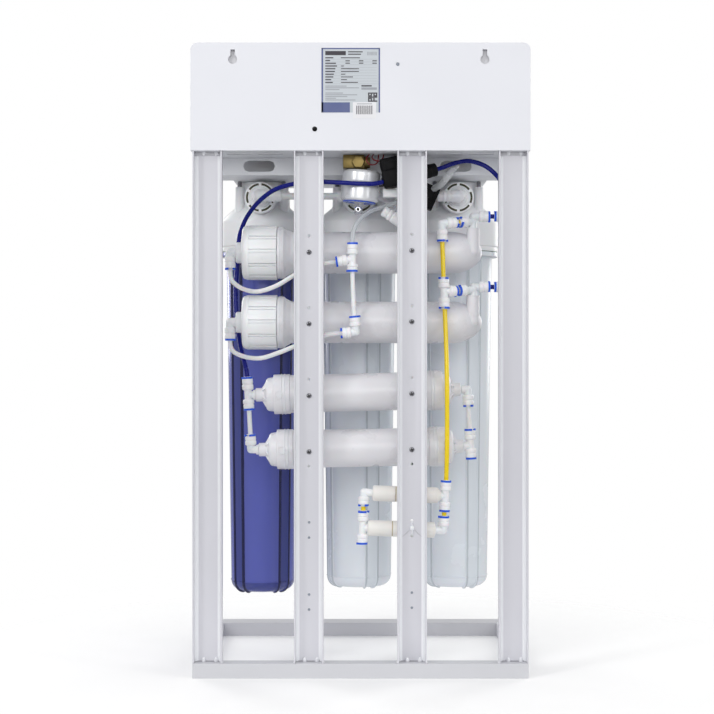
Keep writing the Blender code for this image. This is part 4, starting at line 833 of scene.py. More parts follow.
def build_port(head, slots, centre, side):
    """One port of a head: a round boss with six curved slots in its face round a raised ring."""
    face = (centre.x, centre.y + side * 70, PORT_HEIGHT)
    outward = DEEP * side
    outline = [(-45, 0), (-45, 22.5), (-1.2, 22.5), (0, 21.4), (0, 20.2), (0, 17.4), (0, 16.2), (-1.6, 15.9),
               (-1.6, 15.0), (0.6, 14.6), (1.1, 13.8), (0.9, 12.4), (-1.8, 11.8), (-1.8, 10.8), (-0.6, 10.2),
               (-1.4, 9.4), (-27, 8.4), (-27, 0)]
    head.lathe(outline, face, outward, angles=port_angles())
    inner, outer = 17.3, 20.2
    for first, last in zip(PORT_GAPS, (*PORT_GAPS[1:], PORT_GAPS[0] + 360)):
        slots.arc_bar(face, outward, inner, outer, 0.12, first + 6, last - 6, 14)


def build_head(number):
    node = f"filter_head_{number}"
    low, high = in_mm(node)
    centre = middle_of(node)
    head, slots, bolts = Shape(), Shape(), Shape()
    outline = rounded([
        (613.5, 0), (613.5, 49), (615.8, 49), (615.8, 57.5), (low.z, 57.5), (low.z, 61.4), (low.z + 7, 61.4),
        (low.z + 8, 63), (632, 63), (645, 50), (653, 40), (659, 38), (686, 38), (high.z, 36), (high.z, 0),
    ], 2.2)
    head.lathe(outline, (centre.x, centre.y, 0), sides=96)
    for side in (-1, 1):
        build_port(head, slots, centre, side)
    for spot in bolt_places(node, 0):
        head.lathe(rounded([(636, 0), (640, 7.0), (681, 6.2), (681, 0)], 0.8), spot, sides=28)
        bolts.lathe(rounded([(680, 0), (680, 3.0), (high.z, 3.0), (high.z, 0)], 0.3), spot, sides=20)
        for turn in range(5):
            thread = [(681.4 + turn * 1.5, 2.8), (682.1 + turn * 1.5, 3.5), (682.8 + turn * 1.5, 2.8)]
            bolts.lathe(rounded(thread, 0.1, ring=True), spot, sides=20, ring=True)
    bolts.make(f"head_bolts_{number}", "zinc", "white_paint")
    head.make(f"moulded_head_{number}", "plastic", "white_plastic", replaces=[node])
    slots.make(f"port_slots_{number}", "olive", "white_plastic")


def build_button(number):
    node = f"vent_button_{number}"
    centre = middle_of(node)
    button = Shape()
    button.lathe(rounded([(672, 0), (672, 4), (694.5, 4), (694.5, 7), (698.8, 7), (700, 5.6), (699.4, 3.5),
                          (699.4, 0)], 0.5), (centre.x, centre.y, 0), sides=32)
    button.make(f"red_button_{number}", "red", "red_plastic", f"button_{number}", [node])


def build_filters():
    for number in (1, 2, 3):
        build_bowl(number)
        build_head(number)
        build_button(number)


# ---------------------------------------------------------------- membrane housings and inline filters
def build_membrane_housing(number):
    axis = (0, middle_of(f"membrane_cap_{number}").y, VESSEL_HEIGHTS[number])
    housing = Shape()
    dome = [(126 + 43.4 * math.sin(math.radians(a)), 29 * math.cos(math.radians(a))) for a in range(0, 90, 9)]
    body = rounded([(-150, 0), (-150, 30.5), (-115.3, 30.5), (-115.3, 36), (-106.5, 36), (-103.2, 33),
                    (-96.5, 29.3), (-93, 29)], 1.2)
    housing.lathe([*body, (0, 29), *dome, (169.4, 0)], axis, ACROSS, 72)
    for step in (-111.6, -109.4):
        housing.ring(step - 0.5, step + 0.5, 34, 36.6, 0.3, axis, ACROSS, 72)
    port_radius, port_rise = 8.6, {1: 33.6, 2: 37.2}[number]
    for x, port_y, lower in ((156, -137.5, -7), (158, -113, 9)):
        tip, top = axis[2] + lower, axis[2] + port_rise
        blunt = [(tip + port_radius - port_radius * math.cos(math.radians(a)),
                  port_radius * math.sin(math.radians(a))) for a in range(0, 91, 10)]
        lip = rounded([(top - 2.2, 8.7), (top - 2.0, 9.2), (top, 9.2), (top, 5.6), (top - 3, 5.4),
                       (top - 3, 0)], 0.4)
        housing.lathe([*blunt, *lip], (x, port_y, 0), sides=40)
    housing.make(f"membrane_vessel_{number}", "vessel", "white_plastic",
                 replaces=[f"membrane_housing_{number}"])


def build_membrane_cap(number):
    """The cap: a plain ring at the left, twelve grip panels round the rest, and a stepped boss."""
    axis = (0, middle_of(f"membrane_cap_{number}").y, VESSEL_HEIGHTS[number])
    grips = (-153.9, axis[1], axis[2])
    cap = Shape()
    shell = rounded([(-163.9, 0), (-163.9, 33), (-162.2, 36.2), (-157, 37.9), (-154.0, 37.9)], 1.0)
    inside = [(-153.9, 35.4), (-116.0, 35.4), (-115.6, 35.0), (-115.6, 30.9), (-121, 30.9), (-121, 0)]
    cap.lathe([*shell, *inside], axis, ACROSS, 72)
    for i in range(12):
        start, wide = 30 * i + 15, 20.5
        end = start + wide / 2
        cap.arc_bar(grips, ACROSS, 34.8, 38.0, 37.9, start - wide / 2, end, 8)
        cap.arc_bar(grips, ACROSS, 34.8, 37.2, 37.9, end + 2.9, end + 6.6, 3)
    boss = rounded([(-173.4, 6), (-173.4, 13.2), (-171.8, 14.6), (-163, 14.6), (-163, 6)], 0.6, ring=True)
    cap.lathe(boss, axis, ACROSS, 40, ring=True)
    mouth = rounded([(-175.0, 0), (-175.0, 6.6), (-174.0, 7.6), (-173.2, 7.6), (-173.2, 0)], 0.3)
    cap.lathe(mouth, axis, ACROSS, 32)
    cap.make(f"grip_cap_{number}", "plastic", "white_plastic", replaces=[f"membrane_cap_{number}"])


def build_inline_filter(number):
    left, right = [Vector(end) for end in INLINE_ENDS[number]]
    along = (right - left).normalized()
    length = (right - left).length
    side = rounded([(0, 0), (0, 8.4), (0.8, 9.3), (12.6, 9.4), (13.4, 12), (15.0, 20.4), (17.5, 22.8),
                    (25.3, 23.8), (25.5, 27.5), (48.0, 27.5), (48.4, 26.3)], 1.1)
    filter_body = Shape()
    filter_body.lathe([*side, *[(length - a, r) for a, r in reversed(side)]], left, along, 72)
    for start, direction in ((left, along), (right, -along)):
        for place in (36.5, 41.0):
            filter_body.ring(place - 0.9, place + 0.9, 26, 28.1, 0.7, start, direction, 72)
        matrix = axes_of(start, direction)
        for i in range(6):
            spoke = matrix @ Matrix.Rotation(math.radians(60 * i + 25), 4, "Z") @ Matrix.Rotation(
                math.pi / 2, 4, "X")
            filter_body.prism([(4.5, 9), (9.2, 9), (19.5, 15.4), (19.5, 17), (4.5, 17)], -0.9, 0.9, spoke)
    boss = left + along * 33 - DEEP * 27.2
    filter_body.arc_bar(boss, -DEEP, 4.5, 5.5, 1.2, 0, 359.9, 32)
    filter_body.make(f"inline_canister_{number}", "vessel", "white_plastic",
                     replaces=[f"inline_filter_{number}"])


def build_restrictor(number, left, right, seam):
    left, right = Vector(left), Vector(right)
    along, length = right - left, (right - left).length
    body, ring = Shape(), Shape()
    taper = 6 if number == 1 else 1.6
    body.lathe(rounded([(0, 0), (0, 5.8), (0.3, 9.2), (2.0, 10.8), (seam, 10.9), (seam + 0.2, 10.2),
                        (seam + 1.4, 10.2), (seam + 1.6, 10.9), (length - taper, 10.9), (length - 0.5, 6),
                        (length, 5.6), (length, 0)], 0.8), left, along, 48)
    ring.ring(seam + 0.1, seam + 1.5, 9, 10.45, 0.2, left, along)
    body.make(f"restrictor_capsule_{number}", "cream", "cream_plastic",
              replaces=[f"flow_restrictor_{number}"])
    ring.make(f"restrictor_seam_{number}", "seam", "cream_plastic")


def build_holding_clips():
    """Plastic clips that hold the membrane housings and inline filters to the inner stiles."""
    clips = Shape()
    for node in STILES[1:3]:
        low, high = in_mm(node)
        x = (low.x + high.x) / 2
        held = [(VESSEL_PLANE, VESSEL_HEIGHTS[number], 29.1) for number in (1, 2)]
        held += [(INLINE_PLANE, inline_height(number, x), 26.4) for number in (1, 2)]
        for y, z, radius in held:
            clips.arc_bar((x - 10, y, z), ACROSS, radius, radius + 2.4, 20, 52, 308, 40)
            clips.block((x - 10, high.y + 0.2, z - 9), (x + 10, y - radius - 0.6, z + 9), 1.2)
    clips.make("holding_clips", "plastic", "white_plastic")


def inline_height(number, x):
    """The height of an inline filter's axis at x."""
    (x0, _, z0), (x1, _, z1) = INLINE_ENDS[number]
    return z0 + (z1 - z0) * (x - x0) / (x1 - x0)


# ---------------------------------------------------------------- push-fit plumbing
class Plumbing:
    """Push-fit bodies, their locking clips, and the short tubes between them."""

    made_clips = 0

    def __init__(self):
        self.bodies, self.clips, self.stubs = Shape(), Shape(), Shape()

    def socket(self, mouth, inward, length):
        """A socket with its collet outside the mouth and a blue clip between the two."""
        mouth, inward = Vector(mouth), Vector(inward).normalized()
        self.bodies.lathe(rounded([
            (5, 0), (5, 4.7), (0.6, 4.7), (0.6, SOCKET * 0.84), (1.4, SOCKET * 0.95),
            (length * 0.42, SOCKET * 0.97), (length * 0.46, SOCKET * 0.90), (length * 0.54, SOCKET * 0.90),
            (length * 0.58, SOCKET), (length * 0.9, SOCKET), (length, SOCKET * 0.8), (length, 0),
        ], 0.5), mouth, inward, 40)
        self.bodies.lathe(rounded([(-1.9, 3.3), (-1.9, 5.2), (-1.4, 5.7), (-1.1, 5.7), (-1.0, 4.5), (2, 4.5),
                                   (2, 3.3)], 0.2, ring=True), mouth, inward, 32, ring=True)
        turn, sweep = 35 + 137 * Plumbing.made_clips, 285  # no two clips near each other are turned alike
        Plumbing.made_clips += 1
        self.clips.arc_bar(mouth - inward * 1.6, inward, 4.6, 7.3, 2.7, turn, turn + sweep, 30)
        for end in (turn, turn + sweep):
            self.clips.arc_bar(mouth - inward * 1.6, inward, 6.4, 8.4, 2.7, end - 8, end + 8, 4)

    def neck(self, start, end):
        self.bodies.tube([start, end], NECK, 32)

    def run(self, start, toward, parts):
        """Lays parts of (kind, length) on one line; a socket's kind says at which end its mouth is."""
        start = Vector(start)
        along = (Vector(toward) - start).normalized()
        for kind, length in parts:
            end = start + along * length
            if kind == "mouth_first":
                self.socket(start, along, length)
            elif kind == "mouth_last":
                self.socket(end, -along, length)
            elif kind == "neck":
                self.neck(start - along * 0.8, end + along * 0.8)
            elif kind == "stub":
                self.stubs.tube([start - along * 4, end + along * 4], TUBE, 24)
            start = end

    def bend(self, corner, one, other, radius=5.5, reach=8.5):
        """A tight elbow between two directions that leave the corner."""
        corner, one, other = Vector(corner), Vector(one).normalized(), Vector(other).normalized()
        for direction in (one, other):
            self.bodies.tube([corner, corner + direction * reach], radius, 32)
        self.bodies.lathe(arc((0, 0), radius, 180, 0, 12), corner, one.cross(other), 32)

    def make(self, name, stub_paint, stub_slot, replaces):
        self.bodies.make(f"{name}_fittings", "fitting", "white_plastic", replaces=replaces)
        if self.clips.mesh.verts:
            self.clips.make(f"{name}_clips", "clip", "blue_tube")
        if self.stubs.mesh.verts:
            self.stubs.make(f"{name}_tubes", stub_paint, stub_slot)


def build_permeate_joiner():
    y = PERMEATE_PLANE
    run = Plumbing()
    run.run((-11, y, 589.9), (-11, y, 550), [("mouth_first", 15.2), ("neck", 12.6), ("mouth_last", 9.3)])
    run.run((-32.3, y, 565.3), (-11, y, 568.3), [("mouth_first", 14.5), ("neck", 6.8)])
    run.stubs.tube([(-11.1, y, 556), (-10.6, y, 535), (-9.6, y, 510), (-8.2, y, 484)], TUBE, 24)
    run.run((-8.3, y, 489.5), (-6.4, y, 468.9), [("mouth_first", 13.3), ("neck", 3)])
    run.run((-25.8, y, 467.3), (-6.3, y, 468.7), [("mouth_first", 13.0), ("neck", 2)])
    run.bend((-6.4, y, 468.7), (-0.09, 0, 1), (-1, 0, -0.07))
    run.make("permeate", "hose_white", "white_plastic", ["permeate_joiner"])


def build_drain_line():
    top, inline, low, port = -157.5, -165.5, RESTRICTOR_PLANE, -137.5
    run = Plumbing()
    corner, upper_stem = Vector((111.5, top, 618.3)), Vector((155.5, port, 621.8))
    run.run((111.5, top, 618.0), (115.6, top, 501), [
        ("neck", 8), ("mouth_last", 15.4), ("stub", 52), ("mouth_first", 13.3), ("neck", 13.3),
        ("mouth_last", 13.6),
    ])
    run.run(corner, upper_stem, [
        ("neck", 7.2), ("mouth_last", 15.5), ("stub", 7), ("mouth_first", 10), ("neck", 6),
    ])
    run.bend(corner, (0, 0, -1), upper_stem - corner)
    run.bend(upper_stem, corner - upper_stem, (0, 0, -1))
    run.neck((155.5, port, 611), (155.5, port, 618))
    tee, lower_stem = Vector((115, top, 524.7)), Vector((156, port, 527.0))
    run.run(tee, lower_stem, [
        ("neck", 7.2), ("mouth_last", 11), ("stub", 6), ("mouth_first", 10.5), ("neck", 8),
    ])
    run.bend(lower_stem, tee - lower_stem, (0, 0, -1))
    run.neck((156, port, 517.5), (156, port, 523))
    descent = [
        (115.5, top, 506), (116.6, top - 1.4, 480), (117.8, top - 5.4, 440), (118.4, inline, 400),
        (118.6, inline, 350), (118.4, inline, 306), (117.9, inline + 2.2, 280), (117.3, low, 256),
    ]
    run.stubs.tube(smooth_route(descent, 5), TUBE, 24)
    run.run((117.2, low, 264.0), (113.5, low, 196), [
        ("mouth_first", 12.4), ("neck", 15.4), ("mouth_last", 12), ("stub", 9), ("mouth_first", 12.5),
        ("neck", 3),
    ])
    run.neck((116.0, low, 243.8), (109.5, low, 244.3))
    run.bend((113.5, low, 197.0), (0.05, 0, 1), (-1, 0, 0.05))
    run.neck((107, low, 197.3), (101.5, low, 197.6))
    run.make("drain", "yellow", "yellow_plastic", ["drain_line"])


def build_restrictor_manifold():
    y = RESTRICTOR_PLANE
    run = Plumbing()
    run.run((4.8, y, 249.0), (2.4, y, 179.6), [
        ("neck", 5), ("mouth_last", 12), ("stub", 9.6), ("mouth_first", 12.9), ("neck", 17),
        ("mouth_last", 12.9),
    ])
    run.bend((4.8, y, 249.3), (0, 0, -1), (1, 0, -0.09))
    run.neck((12, y, 248.7), (18, y, 248.2))
    run.neck((3.2, y, 200.9), (10.5, y, 200.5))
    run.make("restrictor", "yellow", "yellow_plastic", ["restrictor_manifold_left"])


def build_inline_runs():
    y = INLINE_PLANE
    left = Plumbing()
    left.run((-156.9, y, 405.5), (-151.6, y, 306.3), [
        ("mouth_first", 16.9), ("neck", 12.6), ("mouth_last", 13.8), ("stub", 36.6), ("mouth_first", 13.8),
        ("neck", 1),
    ])
    left.neck((-155.4, y, 382.1), (-144, y, 382.1))
    nut = rounded([(0, 0), (0, 6.8), (3.4, 7.2), (3.4, 0)], 0.6)
    left.bodies.lathe(nut, (-149, y, 382.1), ACROSS, 32)
    left.bend((-151.8, y, 306.5), (-0.05, 0, 1), (1, 0, -0.02))
    left.bodies.lathe(nut, (-144.6, y, 306.2), ACROSS, 32)
    left.make("inline_left", "hose_white", "white_plastic", ["inline_run_left"])

    right = Plumbing()
    right.run((148.7, y, 389.4), (153.9, y, 294.4), [
        ("neck", 7.2), ("mouth_last", 15.1), ("stub", 33.6), ("mouth_first", 13.6), ("neck", 11.9),
        ("mouth_last", 13.8),
    ])
    right.bend((148.7, y, 389.6), (0.05, 0, -1), (-1, 0, 0))
    right.bodies.tube([(152.6, y, 312.2), (141.5, y, 311.3)], NECK * 1.1, 32)
    right.make("inline_right", "hose_white", "white_plastic", ["inline_run_right"])


def build_membrane_feed_run():
    x, y, stem = 203, -113.5, 158
    run = Plumbing()
    run.run((x, y, 644.8), (x, y, 532.7), [
        ("mouth_first", 9.5), ("neck", 12), ("mouth_last", 13), ("stub", 54), ("mouth_first", 13.5),
        ("neck", 3),
    ])
    for z, foot in ((631.4, 613.9), (532.7, 520.5)):
        run.run((x, y, z), (stem, y, z), [
            ("neck", 5), ("mouth_last", 9), ("stub", 9), ("mouth_first", 14.5), ("neck", 1.5),
        ])
        run.bend((stem, y, z), ACROSS, (0, 0, -1))
        run.neck((stem, y, foot - 3), (stem, y, z - 6))
    run.bend((x, y, 532.7), (0, 0, 1), (-1, 0, 0))
    run.make("membrane_feed", "hose_blue", "blue_tube", ["membrane_feed_run"])


def build_cap_elbows():
    x = -181.6
    for number, bottom in ((1, 557.7), (2, 459.1)):
        y, z = middle_of(f"membrane_cap_{number}").y, VESSEL_HEIGHTS[number]
        run = Plumbing()
        run.socket((x, y, bottom), UP, 17.5)
        run.bend((x, y, z), (0, 0, -1), ACROSS, 6.4)
        run.make(f"cap_{number}", "hose_white", "white_plastic", [f"cap_elbow_{number}"])


def build_head_links():
    """The pipes between the heads: an elbow in each port, a ringed sleeve and the tube between."""
    for name, first, side in (("head_link_1_2", 1, -1), ("head_link_2_3", 2, 1)):
        link = Plumbing()
        ends = [middle_of(f"filter_head_{n}") for n in (first, first + 1)]
        y = ends[0].y + side * LINK_REACH
        for end, inward in zip(ends, (1, -1)):
            corner = Vector((end.x, y, PORT_HEIGHT))
            ported_elbow(link, corner, -DEEP * side, ACROSS * inward)
        link.stubs.tube([(ends[0].x + 26, y, PORT_HEIGHT), (ends[1].x - 26, y, PORT_HEIGHT)], WIDE_TUBE, 28)
        link.make(name, "hose_white", "white_plastic", [name])


def ported_elbow(link, corner, to_port, to_arm):
    """An elbow screwed into a head's port: a stepped collar at the port, a ball and a ringed arm."""
    link.bodies.lathe(rounded([(0, 0), (0, 7.6), (7, 8.0), (8, 10.4), (12.5, 11.2), (13, 12.4), (16, 12.6),
                               (17.5, 8.4), (30, 8.2), (30, 0)], 0.6), corner, to_port, 48)
    link.bend(corner, to_port, to_arm, 8.8, 10)
    arm = [(4, 0), (4, 7.4), (14, 7.6), (14.4, 8.8), (17, 8.8), (17.4, 7.6), (19.4, 7.6), (19.8, 8.8),
           (22.4, 8.8), (22.8, 7.6), (31, 7.4), (31, 0)]
    link.bodies.lathe(rounded(arm, 0.4), corner, to_arm, 40)


def build_link_nut():
    """A ribbed nut on the branch that leaves the middle head's port towards the right."""
    nut = Shape()
    start, end = Vector((24, -95, 664)), Vector((64, -97, 639))
    along = (end - start).normalized()
    sleeve = [(0, 0), (0, 5.4), (20, 5.4), (20.4, 8.0), (23, 8.8), (40, 9.2), (43, 8.4), (43, 0)]
    nut.lathe(rounded(sleeve, 0.6), start, along, 36)
    for i in range(5):
        rib = [(24.5 + i * 3.6, 8.4), (25.2 + i * 3.6, 10.2), (26.6 + i * 3.6, 10.2), (27.3 + i * 3.6, 8.4)]
        nut.lathe(rounded(rib, 0.4, ring=True), start, along, 36, ring=True)
    nut.make("link_nut", "fitting", "white_plastic")


# ---------------------------------------------------------------- cords
def smooth_route(points, spacing, lead=4.0):
    """Points at even spacing on one smooth curve through the route's own points, straight at both ends."""
    route = [Vector(p) for p in points]
    ends = [2 * route[0] - route[1], *route, 2 * route[-1] - route[-2]]
    fine = []
    for a, b, c, d in zip(ends, ends[1:], ends[2:], ends[3:]):
        for i in range(24):
            t = i / 24
            fine.append(0.5 * (2 * b + (c - a) * t + (2 * a - 5 * b + 4 * c - d) * t**2
                               + (3 * b - a - 3 * c + d) * t**3))
    fine.append(route[-1])
    length = sum((b - a).length for a, b in zip(fine, fine[1:]))
    count = max(2, round(length / spacing))
    found, walked, target = [fine[0]], 0.0, length / count
    for a, b in zip(fine, fine[1:]):
        step = (b - a).length
        while walked + step >= target - 1e-9 and len(found) < count:
            found.append(a.lerp(b, (target - walked) / step))
            target += length / count
        walked += step
    start = route[0] + (route[1] - route[0]).normalized() * lead
    end = route[-1] + (route[-2] - route[-1]).normalized() * lead
    clear = lead * 1.3
    inner = [p for p in found[1:] if (p - route[0]).length > clear and (p - route[-1]).length > clear]
    return [route[0], start, *inner, end, route[-1]]


ROUTES = {
    "feed_tube": ("feed_hose", "hose_blue", "blue_tube", [
        (-156.9, -132.5, 405.9), (-157.4, -132.5, 413.0), (-161.0, -127.5, 425.5), (-164.6, -119.5, 437.5),
        (-168.4, -111.0, 452.0), (-173.6, -101.0, 484.0), (-175.8, -97.5, 522.1), (-174.4, -95.5, 553.2),
        (-171.4, -95.5, 598.9), (-166.4, -100.5, 616.9), (-159.0, -107.5, 631.6), (-146.0, -120.5, 647.1),
        (-130.3, -132.5, 659.7), (-114.5, -144.5, 667.5), (-93.2, -156.5, 672.1), (-73.3, -164.5, 673.6),
        (-52.6, -168.0, 674.0), (-30.8, -169.0, 673.1), (-10.3, -169.3, 671.9), (6.0, -169.0, 671.4),
        (16.0, -166.2, 671.4), (24.2, -163.4, 672.9), (30.8, -161.1, 674.7),
    ]),
    "cap_tube_1": ("cap_hose_upper", "hose_white", "white_plastic", [
        (-181.6, -122.5, 557.3), (-181.5, -122.6, 550.0), (-179.6, -124.3, 542.5), (-174.6, -127.0, 536.5),
        (-161.8, -132.5, 528.8), (-141.8, -140.5, 525.3), (-116.4, -150.5, 532.5), (-92.7, -158.5, 545.9),
        (-69.2, -162.5, 557.2), (-50.5, -163.5, 562.6), (-40.0, -163.5, 564.2), (-32.7, -163.5, 565.2),
    ]),
    "cap_tube_2": ("cap_hose_lower", "hose_white", "white_plastic", [
        (-181.6, -122.5, 458.7), (-181.5, -122.6, 451.5), (-178.6, -124.5, 444.6), (-171.9, -127.5, 439.2),
        (-156.2, -132.5, 434.0), (-136.4, -139.5, 433.3), (-113.8, -148.5, 440.2), (-92.8, -156.5, 448.4),
        (-69.2, -161.5, 457.3), (-47.3, -163.0, 464.6), (-34.0, -163.5, 466.7), (-26.2, -163.5, 467.3),
    ]),
    "outlet_tube": ("outlet_hose", "hose_clear", "clear_tube", [
        (-11.0, -163.5, 590.3), (-11.0, -163.3, 597.0), (-9.9, -160.3, 606.0), (-7.0, -155.5, 614.5),
        (-2.0, -149.5, 622.5), (7.5, -142.5, 632.0), (17.5, -136.0, 638.0), (29.5, -132.0, 642.5),
        (48.0, -127.5, 649.0), (62.0, -125.5, 658.5), (70.0, -125.0, 675.0), (73.0, -125.0, 700.0),
        (73.0, -125.0, 730.0),
    ]),
    "membrane_feed_tube": ("membrane_feed_hose", "hose_blue", "blue_tube", [
        (104.8, -136.4, 694.6), (111.2, -134.3, 696.3), (124.0, -134.2, 701.3), (138.0, -138.5, 705.0),
        (153.0, -142.5, 705.3), (171.8, -146.5, 698.4), (187.0, -147.5, 686.0), (196.5, -142.5, 673.5),
        (201.3, -131.0, 664.0), (203.0, -119.5, 658.0), (203.0, -113.8, 651.5), (203.0, -113.5, 645.2),
    ]),
}


def build_cords():
    """The five free tubes, each held by a fitting at both ends."""
    for node, (name, paint, slot, points) in ROUTES.items():
        curve = bpy.data.curves.new(name, "CURVE")
        curve.dimensions = "3D"
        curve.bevel_depth = TUBE * MM
        curve.bevel_resolution = 5
        curve.use_fill_caps = True
        route = smooth_route(points, 5)
        spline = curve.splines.new("POLY")
        spline.points.add(len(route) - 1)
        for point, place in zip(spline.points, route):
            point.co = (*(place * MM), 1)
        spline.use_smooth = True
        hose = link_new(name, curve)
        settle(hose, paint, slot, replaces=[node])
        length = sum((b - a).length for a, b in zip(route, route[1:])) * MM


# ---------------------------------------------------------------- valve, switch, can and brass block
def build_solenoid_valve():
    start, end = Vector((31.2, -161.0, 674.8)), Vector((104.2, -136.6, 694.4))
    along = (end - start).normalized()
    line = Shape()
    line.lathe(rounded([(0, 0), (0, 6.6), (1, 7.6), (5, 7.7), (5.6, 7.9), (9.4, 7.9), (10.6, 5.2), (19, 5.2),
                        (19.6, 8.8), (55.6, 9.0), (56, 7.0), (59.6, 7.0), (60, 9.2), (61, 9.7), (70, 9.7),
                        (70.6, 9.3), (79.0, 9.0), (79.5, 8.2), (79.5, 0)], 0.5), start, along, 40)
    line.make("valve_line", "black", "black_plastic", replaces=["solenoid_valve"])
    coil = Shape()
    turn = Matrix.Rotation(-math.radians(13), 4, "Y")
    coil.block((28, -163, 687), (60, -128, 709.5), 2.2, turn, 3)
    coil.block((31, -167.5, 668.5), (59, -131, 692), 1.8, turn, 3)
    coil.block((33, -163.7, 692), (55, -162.6, 704), 0.4, turn)
    coil.make("valve_coil", "black", "black_plastic")
    tabs = Shape()
    for x in (46, 53):
        tabs.block((x, -150, 706), (x + 3.2, -149.2, 712.6), 0.2)
    tabs.make("valve_terminals", "chrome", "can_metal")
    chamber = Shape()
    chamber.block((31, -151, 655), (88, -129, 667), 1.5, segments=3)
    outline = [(0, 0), (0, 5.2), (1.5, 7.4), (7, 7.4), (7.5, 6.6), (9, 6.6), (9.5, 7.9), (13, 7.9),
               (13.5, 7.0), (15, 7.0), (15.5, 8.2), (30, 8.2), (30, 0)]
    chamber.lathe(rounded(outline, 0.5), (31, -142, 637), (26, 4, -16), 40)
    chamber.make("valve_chamber", "plastic", "white_plastic")


def build_pump_feed_line():
    switch = Shape()
    turn = Matrix.Rotation(math.radians(24), 4, "Y")
    switch.block((84, -98, 645), (108, -74, 678), 1.8, turn, 3)
    switch.block((88, -99.4, 655), (104, -97, 672), 0.8, turn)
    switch.block((80.5, -94, 652), (86, -78, 666), 0.8, turn)
    switch.make("pressure_switch", "black", "black_plastic", replaces=["pump_feed_line"])
    elbow = Plumbing()
    head = middle_of("filter_head_3")
    corner = Vector((head.x, head.y - LINK_REACH, PORT_HEIGHT))
    ported_elbow(elbow, corner, DEEP, -ACROSS)
    elbow.make("pump_feed", "hose_grey", "clear_tube", [])
    tube = Shape()
    route = [
        (100, -90, 668), (106, -100, 673), (112, -112, 676), (120, -121.5, 684), (128, -123.0, 695),
        (133, -116, 701.3), (134, -106, 702.2), (134, -96, 702.6), (134, -88.5, 706.5), (134, -86, 715),
        (134, -86, 730),
    ]
    tube.tube(smooth_route(route, 4), WIDE_TUBE, 28)
    tube.make("pump_feed_hose", "hose_grey", "clear_tube")


def build_pressure_can():
    foot = Vector((-3.2, -138, 631))
    along = Vector((2.0, -138, 693)) - foot
    can = Shape()
    can.lathe(rounded([(17.8, 0), (17.8, 9), (18.8, 22), (18.8, 24.2), (21, 26.2), (40, 26.2), (41.3, 25.2),
                       (44.2, 25.2), (45.5, 26.2), (58, 26.2), (61, 23.5), (62.1, 18), (62.1, 0)], 1.0),
              foot, along, 80)
    can.make("can_shell", "can", "can_metal", replaces=["pressure_can"])
    band = Shape()
    band.ring(17.4, 18.5, 14, 22.6, 0.3, foot, along, 64)
    band.make("can_ring", "clip", "blue_tube")
    nozzle = Shape()
    mouth = (-3.3, -146.5, 638)
    nozzle.lathe(rounded([(0.4, 0), (0.4, 4.6), (2, 6.2), (9, 6.3), (9.4, 5.2), (11, 5.2), (11.4, 7.4),
                          (17, 7.4), (17.6, 9.0), (18.4, 9.0), (18.4, 0)], 0.4), foot, along, 6)
    nozzle.lathe([(z, r) for r, z in arc((0, 0), 5.4, -75, 75, 12)][::-1], mouth, DEEP, 32)
    nozzle.lathe(rounded([(-5.6, 2.0), (-5.6, 3.4), (-4.0, 3.9), (2, 3.9), (2, 2.0)], 0.4, ring=True),
                 mouth, DEEP, 32, ring=True)
    # The bore is a black plug set in the nozzle: painted shade inside it.
    bore = Shape()
    bore.lathe([(-5.5, 0), (-5.5, 2.3), (1, 2.3), (1, 0)], mouth, DEEP, 24)
    bore.make("can_nozzle_bore_shade", "rubber", "can_metal")
    nozzle.make("can_nozzle", "chrome", "can_metal")


def build_brass_block():
    brass = Shape()
    brass.block((-24, -149, 695.5), (5, -127, 713.4), 0.8)
    brass.lathe(rounded([(0, 0), (0, 7.0), (4, 7.2), (4.4, 8.4), (15, 8.4), (21.5, 7.2), (21.5, 0)], 0.5),
                (-8, -138, 704), ACROSS, 40)
    brass.lathe(rounded([(694.3, 0), (694.3, 7.0), (695, 8.2), (700, 8.2), (700, 0)], 0.4), (1.5, -138, 0),
                sides=40)
    brass.lathe(rounded([(0, 0), (0, 8.4), (1.2, 9.4), (9, 9.4), (9, 0)], 0.5), (-3, -157.5, 703), DEEP, 6)
    brass.make("brass_block", "brass", "brass", replaces=["brass_manifold"])
    wire = Shape()
    loop = [(12, -152, 713.5), (9, -158, 709), (8.5, -160, 704), (11, -160, 700), (16, -158, 698.5),
            (21, -154, 700), (24, -150, 705), (25, -148, 713.5)]
    wire.tube(smooth_route(loop, 2, 1), 0.85, 14)
    second = [(18, -150, 713.5), (16, -156, 709), (19, -159, 705), (26, -156, 704), (31, -150, 709),
              (32, -148, 713.5)]
    wire.tube(smooth_route(second, 2, 1), 0.85, 14)
    wire.make("red_wires", "wire_red", "red_plastic")


def build_cable_tie():
    """The white tie through two holes of the right inner stile, and the two creases beside it, in the darker
    coat as painted shade.
    """
    low, high = in_mm("stile_inner_right")
    x, web = (low.x + high.x) / 2 + 0.3, high.y - SHEET
    tie = Shape()
    path = bezier((x, web + 1, 211.9), (x, web - 5.5, 201.4), (x, web + 1, 190.9), 14)
    for one, other in zip(path, path[1:]):
        tie.tube([one, other], 0.95, 12)
    tie.block((x - 2.6, web - 3.4, 199.4), (x + 2.6, web - 0.4, 204.6), 0.8)
    tie.make("cable_tie", "plastic", "white_plastic")
    # The creases are thin ridges in the darker coat: painted shade beside the tie.
    creases = Shape()
    for side in (-1, 1):
        creases.tube([(x + side * 3, web - 0.1, 199.5), (x + side * 8, web - 0.2, 194.5),
                      (x + side * 13, web - 0.1, 190)], [0.2, 0.7, 0.2], 10)
    creases.make("web_creases", "paint_low", "white_paint")


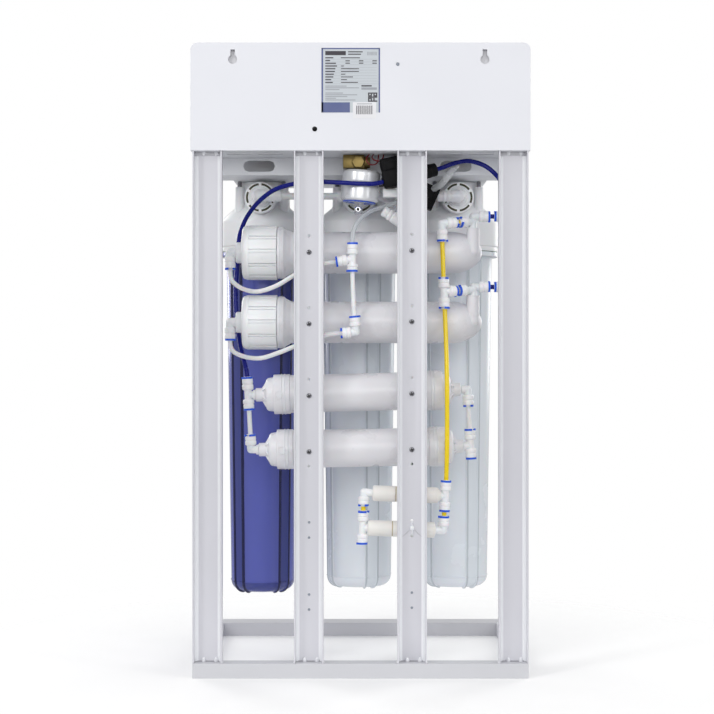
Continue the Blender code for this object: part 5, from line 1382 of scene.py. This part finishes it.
# ---------------------------------------------------------------- the pieces kept from the frame
def dress_frame_nodes():
    """New finishes for the CAD nodes whose shape is kept."""
    finishes = {
        "bowl_seal": "rubber", "filter_cartridge": "wound", "membrane_element": "wound",
        "pump_motor": "steel", "pump_head": "black", "pump_rotor": "steel", "transformer": "black",
    }
    for node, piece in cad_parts.items():
        for start, paint in finishes.items():
            if node.startswith(start):
                for slot in piece.material_slots:
                    slot.material = PAINTS[paint]


def make_floor():
    """A pale floor that fades out into the white surround away from the object."""
    data = bpy.data.meshes.new("floor")
    shape = bmesh.new()
    bmesh.ops.create_grid(shape, x_segments=8, y_segments=8, size=1.2)
    shape.to_mesh(data)
    shape.free()
    floor = link_new("floor", data)
    paint = PAINTS["floor"]
    nodes, links = paint.node_tree.nodes, paint.node_tree.links
    distance = nodes.new("ShaderNodeVectorMath")
    distance.operation = "LENGTH"
    fade = set_inputs(nodes.new("ShaderNodeMapRange"), from_min=0.15, from_max=0.85, to_min=1.0, to_max=0.0)
    fade.interpolation_type = "SMOOTHSTEP"
    links.new(nodes["Texture Coordinate"].outputs["Object"], distance.inputs[0])
    links.new(distance.outputs["Value"], fade.inputs["Value"])
    links.new(fade.outputs["Result"], nodes["Principled BSDF"].inputs["Alpha"])
    data.materials.append(paint)


make_camera()
PAINTS = make_materials()
build_cords()
make_world()
make_lights()
make_floor()
dress_frame_nodes()
dress_sheet_metal()
dress_panel()
build_keyhole_pockets()
dress_hood()
build_filters()
for number in (1, 2):
    build_membrane_housing(number)
    build_membrane_cap(number)
for number in (1, 2):
    build_inline_filter(number)
build_restrictor(1, (16.5, RESTRICTOR_PLANE, 248.1), (110.6, RESTRICTOR_PLANE, 244.8), 31.2)
build_restrictor(2, (9.4, RESTRICTOR_PLANE, 200.5), (103.0, RESTRICTOR_PLANE, 197.6), 33.5)
build_holding_clips()
build_permeate_joiner()
build_drain_line()
build_restrictor_manifold()
build_inline_runs()
build_membrane_feed_run()
build_cap_elbows()
build_head_links()
build_link_nut()
build_solenoid_valve()
build_pump_feed_line()
build_pressure_can()
build_brass_block()
build_cable_tie()
